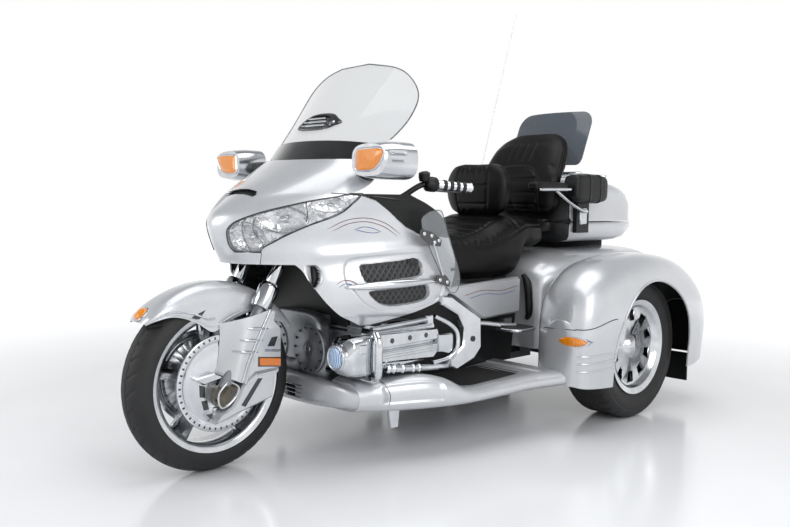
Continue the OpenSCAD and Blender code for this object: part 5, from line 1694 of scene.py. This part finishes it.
turn = np.linspace(-np.pi / 2, np.pi / 2, 64)
y = np.concatenate(
    [np.linspace(1288, HUB[0] - ARCH, 40), HUB[0] + ARCH * np.sin(turn), np.linspace(HUB[0] + ARCH, 2335, 44)]
)
z = np.concatenate([through(FENDER, y[:40], 3), HUB[1] + ARCH * np.cos(turn), through(FENDER, y[104:], 3)])
s = np.linspace(0, 1, 100)[None, :]
outer, inner = (fender_point(y[:, None], z[:, None], s, d) for d in (0.0, -6.0))
k = np.array([0.0, 0.4, 0.75, 0.93])[:, None, None]
caps = []
for grid, behind in ((outer, 0.0), (inner, 5.0)):
    front, back = grid[:1] * (0, 1, 1) + (551, 0, 0), grid[-1:] * (0, 1, 1) + (524, 0, 0)
    caps.append((
        front * (1 - k) + grid[:1] * k - (0, 8 - behind, 0) * (1 - k**6),
        back * (1 - k[::-1]) + grid[-1:] * k[::-1] - (0, 2 + behind, 0) * (1 - k[::-1] ** 6)
    ))
grids = [np.concatenate([front, grid, back]) for grid, (front, back) in zip((outer, inner), caps)]
points, faces = shell(*grids)
marks = np.concatenate([np.full(len(f), n) for f, n in zip(faces, (0, 1, 0))])
body = [(points, faces, marks)]
edge = fender_point(y[40:104], z[40:104], 0.0, 1.0)
body.append((*tube(edge, 4.5, 8), 0))
line_y = np.linspace(1290, HUB[0] - ARCH - 2, 60)
for low, high, radius, finish in (
    (438, 474, 1.8, 1), (330, 336, 4.5, 0), (300, 306, 4.5, 0), (268, 274, 4.0, 0)
):
    body.append((*tube(
        fender_point(line_y, low + (high - low) * step((line_y - 1290) / 170), 0.0, 0.2), radius, 8
    ), finish))
body.append((*tube(
    np.column_stack([np.linspace(628, 474, 20), np.full(20, 1281.5), np.linspace(437, 430, 20)]), 1.6, 8
), 1))

# %% [markdown]
# The hump is a loft of arched sections with a flat floor. At the back the section steps in to the
# rectangle of the hatch opening and runs a little way forward again, which gives the hatch its frame.

# %% Centre hump
# rows of y, half width, top
HUMP = np.array([
    [1442, 300, 610], [1456, 330, 650], [1490, 356, 680], [1540, 376, 700], [1665, 398, 722],
    [1950, 402, 727], [2240, 400, 728], [2310, 388, 716], [2334, 366, 690]
], float)
a = np.linspace(0, np.pi, 90)[None, :]
y = np.concatenate([np.linspace(1442, 1490, 16), np.linspace(1500, 2334, 70)])[:, None]
w, top = through(HUMP, y, 1), through(HUMP, y, 2)
arched = grid_of(w * power(np.cos(a), 0.5), y, 520 + (top - 520) * np.sin(a) ** 0.42)
floor_line = np.linspace(-1, 1, 14)[None, :]
flat = grid_of(w * floor_line, y, 300.0)
frame_y = np.array([2335.0, 2300.0])[:, None]
hole = np.concatenate([
    grid_of(309 * power(np.cos(a), 0.15), frame_y, 326 + 336 * np.sin(a) ** 0.15),
    grid_of(309 * floor_line, frame_y, 326.0)
], 1)
rings = np.concatenate([np.concatenate([arched, flat], 1), hole])
points, faces = loft(rings)
body.append((points, faces, np.concatenate([
    np.where(np.arange(len(faces[0])) >= (len(rings) - 2) * rings.shape[1], 1, 0),
    np.zeros(len(faces[1]), int), np.ones(len(faces[2]), int)
])))
knuckles = [(*plate([(2306, 640), (2338, 640), (2338, 660), (2306, 660)], 248, 268, 2.0), 0)]
piece(
    "trike_shell", mirrored(body[:-1] + knuckles) + body[-1:], "chassis", ["silver_paint", "black_plastic"],
    ["trike_body"], 35.0
)

# %% [markdown]
# An amber lamp with a bright frame sits on the front of each fender, a long outline with a point at each
# end. The hatch gets a rolled hinge edge and a blank plate. The red lamps, the bumper and the mud flaps
# keep the shape of the solids.


# %% Rear lamps and plate
def lamp_plate(outline, y0, y1, inset):
    """A plate whose outline is (x, z) and which stands from y0 to y1."""
    points, faces = plate(outline, y0, y1, inset)
    return points[:, [1, 0, 2]], [f[:, ::-1] for f in faces]


hexagon = np.array([
    (540, 388), (556, 398), (572, 407), (600, 408), (632, 405), (654, 400), (668, 390), (658, 378),
    (632, 370), (600, 368), (572, 370), (552, 378)
], float)
centre = hexagon.mean(0)


def bulge(scales):
    """Rings round the lamp's middle, each (scale, height off the fender), bent back where the fender
    turns."""
    rings = []
    for scale, height in scales:
        flat = centre + (hexagon - centre) * scale
        rings.append(np.column_stack([
            flat[:, 0], 1288 + np.interp(flat[:, 0], [600, 632, 656, 680], [0, 1, 14, 40]) - height,
            flat[:, 1]
        ]))
    return loft(np.stack(rings))


piece("marker_bezels", mirrored(
    [bulge([(1.0, -8), (1.16, -6), (1.16, 4), (1.1, 7), (1.0, 6), (0.97, 2)])]
), "chassis", ["chrome"])
piece(
    "marker_lenses", mirrored([bulge([(0.97, -4), (0.97, 5), (0.86, 9), (0.5, 11), (0.05, 11.5)])]),
    "chassis", ["amber_lens"], ["marker_lamps"]
)
hatch = path_through([
    (-300, 332), (-150, 330), (150, 330), (300, 332), (304, 400), (304, 570), (300, 638), (150, 640),
    (-150, 640), (-300, 638), (-304, 570), (-304, 400)
], 96, True)
panel = [lamp_plate(hatch, 2325, 2336, 4.0), tube(
    np.array([[-242.0, 2330, 646], [-80, 2330, 646], [80, 2330, 646], [242, 2330, 646]]), 9.0, 20
)]
panel += [
    tube(path_through([(-130, 2336, 402), (0, 2336, 399), (130, 2336, 402)], 20), 3.0, 8),
    tube(path_through([(-130, 2336, 540), (0, 2336, 543), (130, 2336, 540)], 20), 3.0, 8)
]
piece("hatch_panel", panel, "hatch", ["silver_paint"], ["body_hatch"])
blank = path_through(
    [(-95, 415), (0, 412), (95, 415), (98, 470), (95, 525), (0, 528), (-95, 525), (-98, 470)], 64, True
)
piece(
    "blank_plate",
    [lamp_plate(blank, 2336, 2339, 1.0)] + [bolt((x, 2339, 470), (0, 1, 0), 6, 3) for x in (-73, 73)],
    "hatch", ["silver_trim"]
)

# %% [markdown]
# Two black pods stand beside the trunk, the passenger's speakers. They are boxes with round edges and
# two gloss beads, each on a stand. The smoked deflector behind the backrest is a bent sheet whose
# corners are rounded in its own plane.

# %% Pods and deflector
# rows of y, half width, half height
POD = np.array([
    [1700, 30, 40], [1706, 38, 52], [1720, 43, 60], [1760, 45, 63], [1900, 45, 63], [1940, 41, 56],
    [1958, 32, 42]
], float)
t = circle(72)[None, :]
y = np.concatenate(
    [np.linspace(1700, 1720, 10), np.linspace(1728, 1935, 30), np.linspace(1938, 1958, 8)]
)[:, None]
pod = loft(grid_of(
    295 + through(POD, y, 1) * power(np.cos(t), 0.42), y, 1006 + through(POD, y, 2) * power(np.sin(t), 0.42)
))
ring = grid_of(295 + 46.5 * power(np.cos(t), 0.42), 1800.0, 1006 + 64.5 * power(np.sin(t), 0.42))[0]
stand = plate([(1800, 800), (1900, 800), (1900, 960), (1880, 985), (1820, 985), (1800, 960)], 246, 268, 4.0)
pods = [(*pod, 0), (*tube(ring, 3.0, 8, True), 1), (*tube(ring + (0, 84, 0), 3.0, 8, True), 1), (*stand, 0)]
piece("speaker_shells", mirrored(pods), "chassis", ["black_plastic", "gloss_black"], ["speaker_pods"])

z = np.concatenate(
    [np.linspace(1120, 1160, 14), np.linspace(1170, 1310, 24), np.linspace(1314, 1385, 30)]
)[:, None]
s = np.linspace(-1, 1, 61)[None, :]
half = (
    216 - 26 * (1 - np.sqrt(1 - np.clip((1160 - z) / 40, 0, 1) ** 2))
    - 70 * (1 - np.sqrt(np.maximum(1 - np.clip((z - 1314) / 71.5, 0, 1) ** 2, 0)))
)
sheet = [grid_of(half * s, 1856 + d + (z - 1120) * 0.42 + 30 * s * s, z) for d in (0.0, 6.0)]
flap = [(*shell(*sheet), 0)]
for side in (-1, 1):
    flap.append(
        (*plate([(1808, 1131), (1866, 1131), (1866, 1141), (1808, 1141)], side * 92, side * 118, 2.0), 1)
    )
piece("smoked_deflector", flap, "trunk_top", ["smoked_screen", "black_plastic"], ["rear_deflector"])
print("rear done")

# %% [markdown]
# The controls: a black bar rises from the fork to each hand. It carries a switch housing, a lever and a
# bright grip with four rubber blocks. Everything here turns with the fork, so it rides on that body.

# %% Handlebar
bar = [(*tube(path_through([
    (45, 440, 948), (100, 484, 932), (150, 520, 928), (243, 650, 946), (290, 724, 996), (304, 750, 1006),
    (318, 780, 1004), (374, 900, 994)
], 90), 11.0, 16), 0)]
bar.append((*plate([(424, 930), (470, 936), (470, 962), (452, 972), (424, 964)], 22, 70, 4.0), 0))
root, tip = np.array([322.0, 788.6, 1002.9]), np.array([383.0, 919.3, 992.5])
along = (tip - root) / np.linalg.norm(tip - root)
switch = root - along * 46
reach = np.array([-4, 0, 6, 24, 40, 46, 50])[:, None]
bar.append((*tube(switch + reach * along, [14, 24, 28, 29, 28, 24, 14], 24), 0))
bar.append(
    (*tube(switch + np.array([[0, -4, 10], [0, -6, 24], [2, -8, 40], [2, -9, 46]]), [20, 22, 22, 12], 20), 0)
)
bar.append((*tube(
    path_through(
        [switch + (6, 14, -18), switch + (26, 40, -24), switch + (52, 100, -28), switch + (70, 150, -26)], 40
    ), np.interp(np.linspace(0, 1, 40), [0, 0.2, 0.9, 1], [8, 5.5, 5, 7]), 10
), 1))
piece("bar_and_switches", mirrored(bar), "steering", ["black_plastic", "gloss_black"], ["handlebar"])

grips = [(*tube(root + np.array([0, 4, 8, 130, 140, 146])[:, None] * along, [12, 17, 18, 18, 20, 14], 32), 0)]
for start in (24, 50, 76, 102):
    grips.append((*tube(
        root + np.array([start, start + 2, start + 14, start + 16])[:, None] * along, [18, 21, 21, 18], 24
    ), 1))
piece("bright_grips", mirrored(grips), "steering", ["chrome", "black_rubber"], ["hand_grips"])

# %% [markdown]
# The fork itself shows little: two legs that lean back, bright tubes above them, two bridges round the
# stem, and the wheel's axle. A small function leans upright points back by the rake.


# %% Fork
def leaned(x, y, s):
    """Points beside the leg's axis, x across, y behind it and s up along it, leaned back by the rake."""
    x, y, s = np.broadcast_arrays(np.asarray(x, float), y, s)
    return np.stack(
        [x, y * math.cos(lean) + s * math.sin(lean), AXLE - y * math.sin(lean) + s * math.cos(lean)], -1
    )


ring = circle(64)[None, :]
fork = []
for side in (-105, 105):
    for low, high, radius, finish in ((-16, 290, 22.0, 1), (286, 740, 21.5, 0)):
        s = np.array([low, low + 3, high - 3, high])[:, None]
        r = radius * np.array([0.9, 1, 1, 0.9])[:, None]
        fork.append((*loft(leaned(side + r * np.cos(ring), r * np.sin(ring), s)), finish))
for low in (524, 706):
    s, k = np.array([0, 3, 27, 30])[:, None] + low, np.array([0.97, 1, 1, 0.97])[:, None]
    fork.append(
        (*loft(leaned(k * 141 * power(np.cos(ring), 0.7), 28 + k * 62 * power(np.sin(ring), 0.9), s)), 1)
    )
stem = np.array([530, 532, 728, 730])[:, None]
fork.append((*loft(leaned(17.8 * np.cos(ring), 59 + 17.8 * np.sin(ring), stem)), 1))
fork.append((*tube(
    np.array([[-128.0, 0, AXLE], [-126, 0, AXLE], [126, 0, AXLE], [128, 0, AXLE]]), [10, 12, 12, 10], 24
), 1))
piece("fork_legs", fork, "steering", ["chrome", "cast_alloy"], ["fork"])

# %% [markdown]
# A clear wing stands at the rear edge of each side panel. Two black hinge plates hold it, each with
# bright screws, and a thin strut runs between them. The cut edge of the plastic looks darker, and a
# thin gloss black tube round the blade is painted shade for that edge.

# %% Wind wings
WING = [
    (604, 872), (640, 900), (704, 908), (722, 880), (742, 828), (808, 682), (814, 636), (792, 604),
    (756, 612), (700, 694), (640, 790)
]
wing = path_through(WING, 90, True)
# painted shade: the gloss black tube (finish 1) round the clear blade stands for its cut edge looking dark
wings = [
    (*plate(wing, 423, 427, 0.8), 0), (*tube(np.column_stack([np.full(90, 425.0), wing]), 1.5, 8, True), 1)
]
wings.append(
    (*plate([(598, 842), (656, 832), (706, 802), (702, 778), (642, 784), (596, 816)], 427, 431, 1.5), 1)
)
wings.append(
    (*plate([(684, 674), (732, 672), (758, 646), (752, 628), (704, 640), (682, 656)], 427, 431, 1.5), 1)
)
wings += [
    (*bolt((431, y, z), (1, 0, 0), 7.5, 4), 2)
    for y, z in ((614, 826), (652, 818), (690, 800), (668, 794), (700, 656), (738, 646))
]
wings.append((*tube(np.array([[430, 664, 790], [430, 690, 732], [430, 716, 672]]), 3.5, 10), 2))
wings.append((*plate([(770, 684), (790, 684), (790, 696), (770, 696)], 400, 423, 1.0), 1))
piece("wing_blades", mirrored(wings), "chassis", ["clear_screen", "gloss_black", "chrome"], ["wind_wings"])

# %% [markdown]
# Panels between the big parts: the pointed cover under the saddle, the bright bracket behind the
# cylinders, the passenger's board with its bright edge, a rubber strip in front of the hump, and black
# liners that close the view through the machine where the real one has its radiators and wiring.

# %% Covers, brackets and liners
cover = [plate([
    (902, 592), (1000, 600), (1380, 618), (1394, 608), (1394, 474), (1382, 460), (1170, 452), (1140, 456),
    (960, 560)
], 236, 264, 9.0)]
piece("side_panels_low", mirrored(cover), "chassis", ["silver_paint"], ["side_covers"])
frame_panel = [(*plate([
    (720, 596), (770, 590), (934, 496), (940, 382), (900, 342), (802, 311), (770, 326), (768, 356),
    (834, 398), (842, 466), (806, 520), (720, 562)
], 404, 432, 6.0), 0)]
frame_panel.append((*bolt((432, 888, 420), (1, 0, 0), 11, 6), 1))
piece("frame_panels", mirrored(frame_panel), "chassis", ["silver_trim", "black_steel"])

plan = path_through([
    (254, 1236), (270, 1226), (340, 1226), (366, 1240), (376, 1268), (376, 1334), (366, 1362), (340, 1376),
    (270, 1376), (254, 1366)
], 80, True)
rings = np.stack([
    np.column_stack([315 + (plan[:, 0] - 315) * k, 1301 + (plan[:, 1] - 1301) * k, np.full(80, float(h))])
    for k, h in ((0.94, 399), (1.0, 402), (1.0, 410), (0.97, 412), (0.86, 412), (0.84, 414), (0.8, 415))
])
boards = [(*loft(rings), 0), (*tube(np.column_stack([plan, np.full(80, 406.0)]), 6.5, 10, True), 1)]
boards.append((*plate([(1290, 408), (1340, 408), (1340, 441), (1290, 441)], 240, 262, 2.0), 1))
boards.append((*tube(
    path_through([(244, 1080, 440), (262, 1140, 437), (290, 1230, 424), (312, 1300, 418)], 40), 10.0, 12
), 1))
piece("passenger_steps", mirrored(boards), "chassis", ["black_rubber", "silver_trim"], ["passenger_boards"])

wall = [plate([(424, 468), (440, 468), (440, 704), (424, 704)], -236, 236, 2.0)]
liners = [plate([(730, 246), (1400, 246), (1430, 440), (1430, 560), (990, 620), (730, 640)], 203, 209, 1.5)]
liners.append(tube(
    path_through(
        [(250, 1424, 626), (268, 1432, 590), (276, 1438, 520), (276, 1442, 452), (262, 1446, 430)], 40
    ), np.interp(np.linspace(0, 1, 40), [0, 0.2, 0.8, 1], [10, 18, 18, 12]), 14
))
piece("inner_liners", wall + mirrored(liners), "chassis", ["black_plastic"])

# %% [markdown]
# A painter's stripes end the body work: long double lines with a leaf between them. The brush lays a
# raised thread of enamel about two millimetres wide, so each stripe is a thin tube on the surface.

# %% Pinstripes
for slot, name, deep, pale in (
    ("red_stripe", "dark_red_enamel", "#5E1418", "#7C1E22"),
    ("blue_stripe", "blue_enamel", "#1F3E86", "#2F56A6")
):
    clouded(slot, name, [(0.3, deep), (0.7, pale)], 40.0, Roughness=0.25, Coat_Weight=0.5)
stripes = []
for points, finish in (
    ([(300, 842), (360, 872), (430, 880), (500, 862), (560, 822)], 0),
    ([(316, 834), (368, 860), (430, 867), (494, 850), (548, 816)], 0),
    ([(390, 840), (420, 849), (455, 844), (484, 832)], 1),
    ([(390, 840), (424, 832), (455, 828), (484, 832)], 1),
    ([(322, 650), (344, 664), (372, 662), (398, 642)], 0),
    ([(330, 640), (348, 652), (370, 650), (390, 636)], 1),
):
    stripes.append((*tube(
        on_side(path_through(points, 60), 0.4),
        np.interp(np.linspace(0, 1, 60), [0, 0.15, 0.85, 1], [0.4, 1.2, 1.2, 0.4]), 6
    ), finish))
for points, finish in (
    ([(1030, 560), (1130, 574), (1260, 566), (1370, 580)], 0),
    ([(1060, 546), (1150, 558), (1270, 550), (1350, 560)], 1)
):
    flat_line = path_through(points, 50)
    stripes.append((*tube(np.column_stack([np.full(50, 264.3), flat_line]), 1.1, 6), finish))
piece("body_stripes", mirrored(stripes), "chassis", ["red_stripe", "blue_stripe"])
print("stripes done")

# %% [markdown]
# The other solids already have the right shape, and only their finish and shading are missing. A node's
# mesh is loose triangles, so each faceted panel is copied, its doubles are merged, and the copy is
# shaded smooth except across sharp edges. The copy stands for the node and rides on the same body.

# %% Carried-over solids
slot_of = {row["node"]: row["material_slot"] for row in frame["record"]["subparts"]}
body_of = {name: body for body, names in frame["record"]["behaviour"]["bodies"].items() for name in names}


def dressed(node, degrees=38.0):
    """A merged copy of a node's mesh, smooth up to that edge angle, with the node's finish."""
    mesh = frame["nodes"][node].data.copy()
    mesh.name = node + "_panel"
    solid = bmesh.new()
    solid.from_mesh(mesh)
    bmesh.ops.remove_doubles(solid, verts=solid.verts, dist=2e-5)
    solid.to_mesh(mesh)
    solid.free()
    mesh.shade_smooth()
    mesh.set_sharp_from_angle(angle=math.radians(degrees))
    mesh.materials.clear()
    mesh.materials.append(finishes[slot_of[node]])
    if node in ("trunk_body", "trunk_lid"):
        mesh.materials.append(finishes["black_plastic"])
        middles = np.empty(len(mesh.polygons) * 3, np.float32)
        mesh.polygons.foreach_get("center", middles)
        middles = middles.reshape(-1, 3) * METRE + (0.0, MID, 0.0)
        mesh.polygons.foreach_set(
            "material_index", ((middles[:, 1] < 1786) | (middles[:, 2] < 751)).astype(np.int32)
        )
    piece = bpy.data.objects.new(node + "_panel", mesh)
    bpy.context.collection.objects.link(piece)
    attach(piece, body_of[node])
    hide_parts(node)
    return piece


for name, part in frame["nodes"].items():
    part.data.materials.clear()
    part.data.materials.append(finishes[slot_of[name]])
smoothed = [name for name in frame["nodes"] if name not in rebuilt]
for name in smoothed:
    dressed(name)
print("smoothed copies:", len(smoothed))
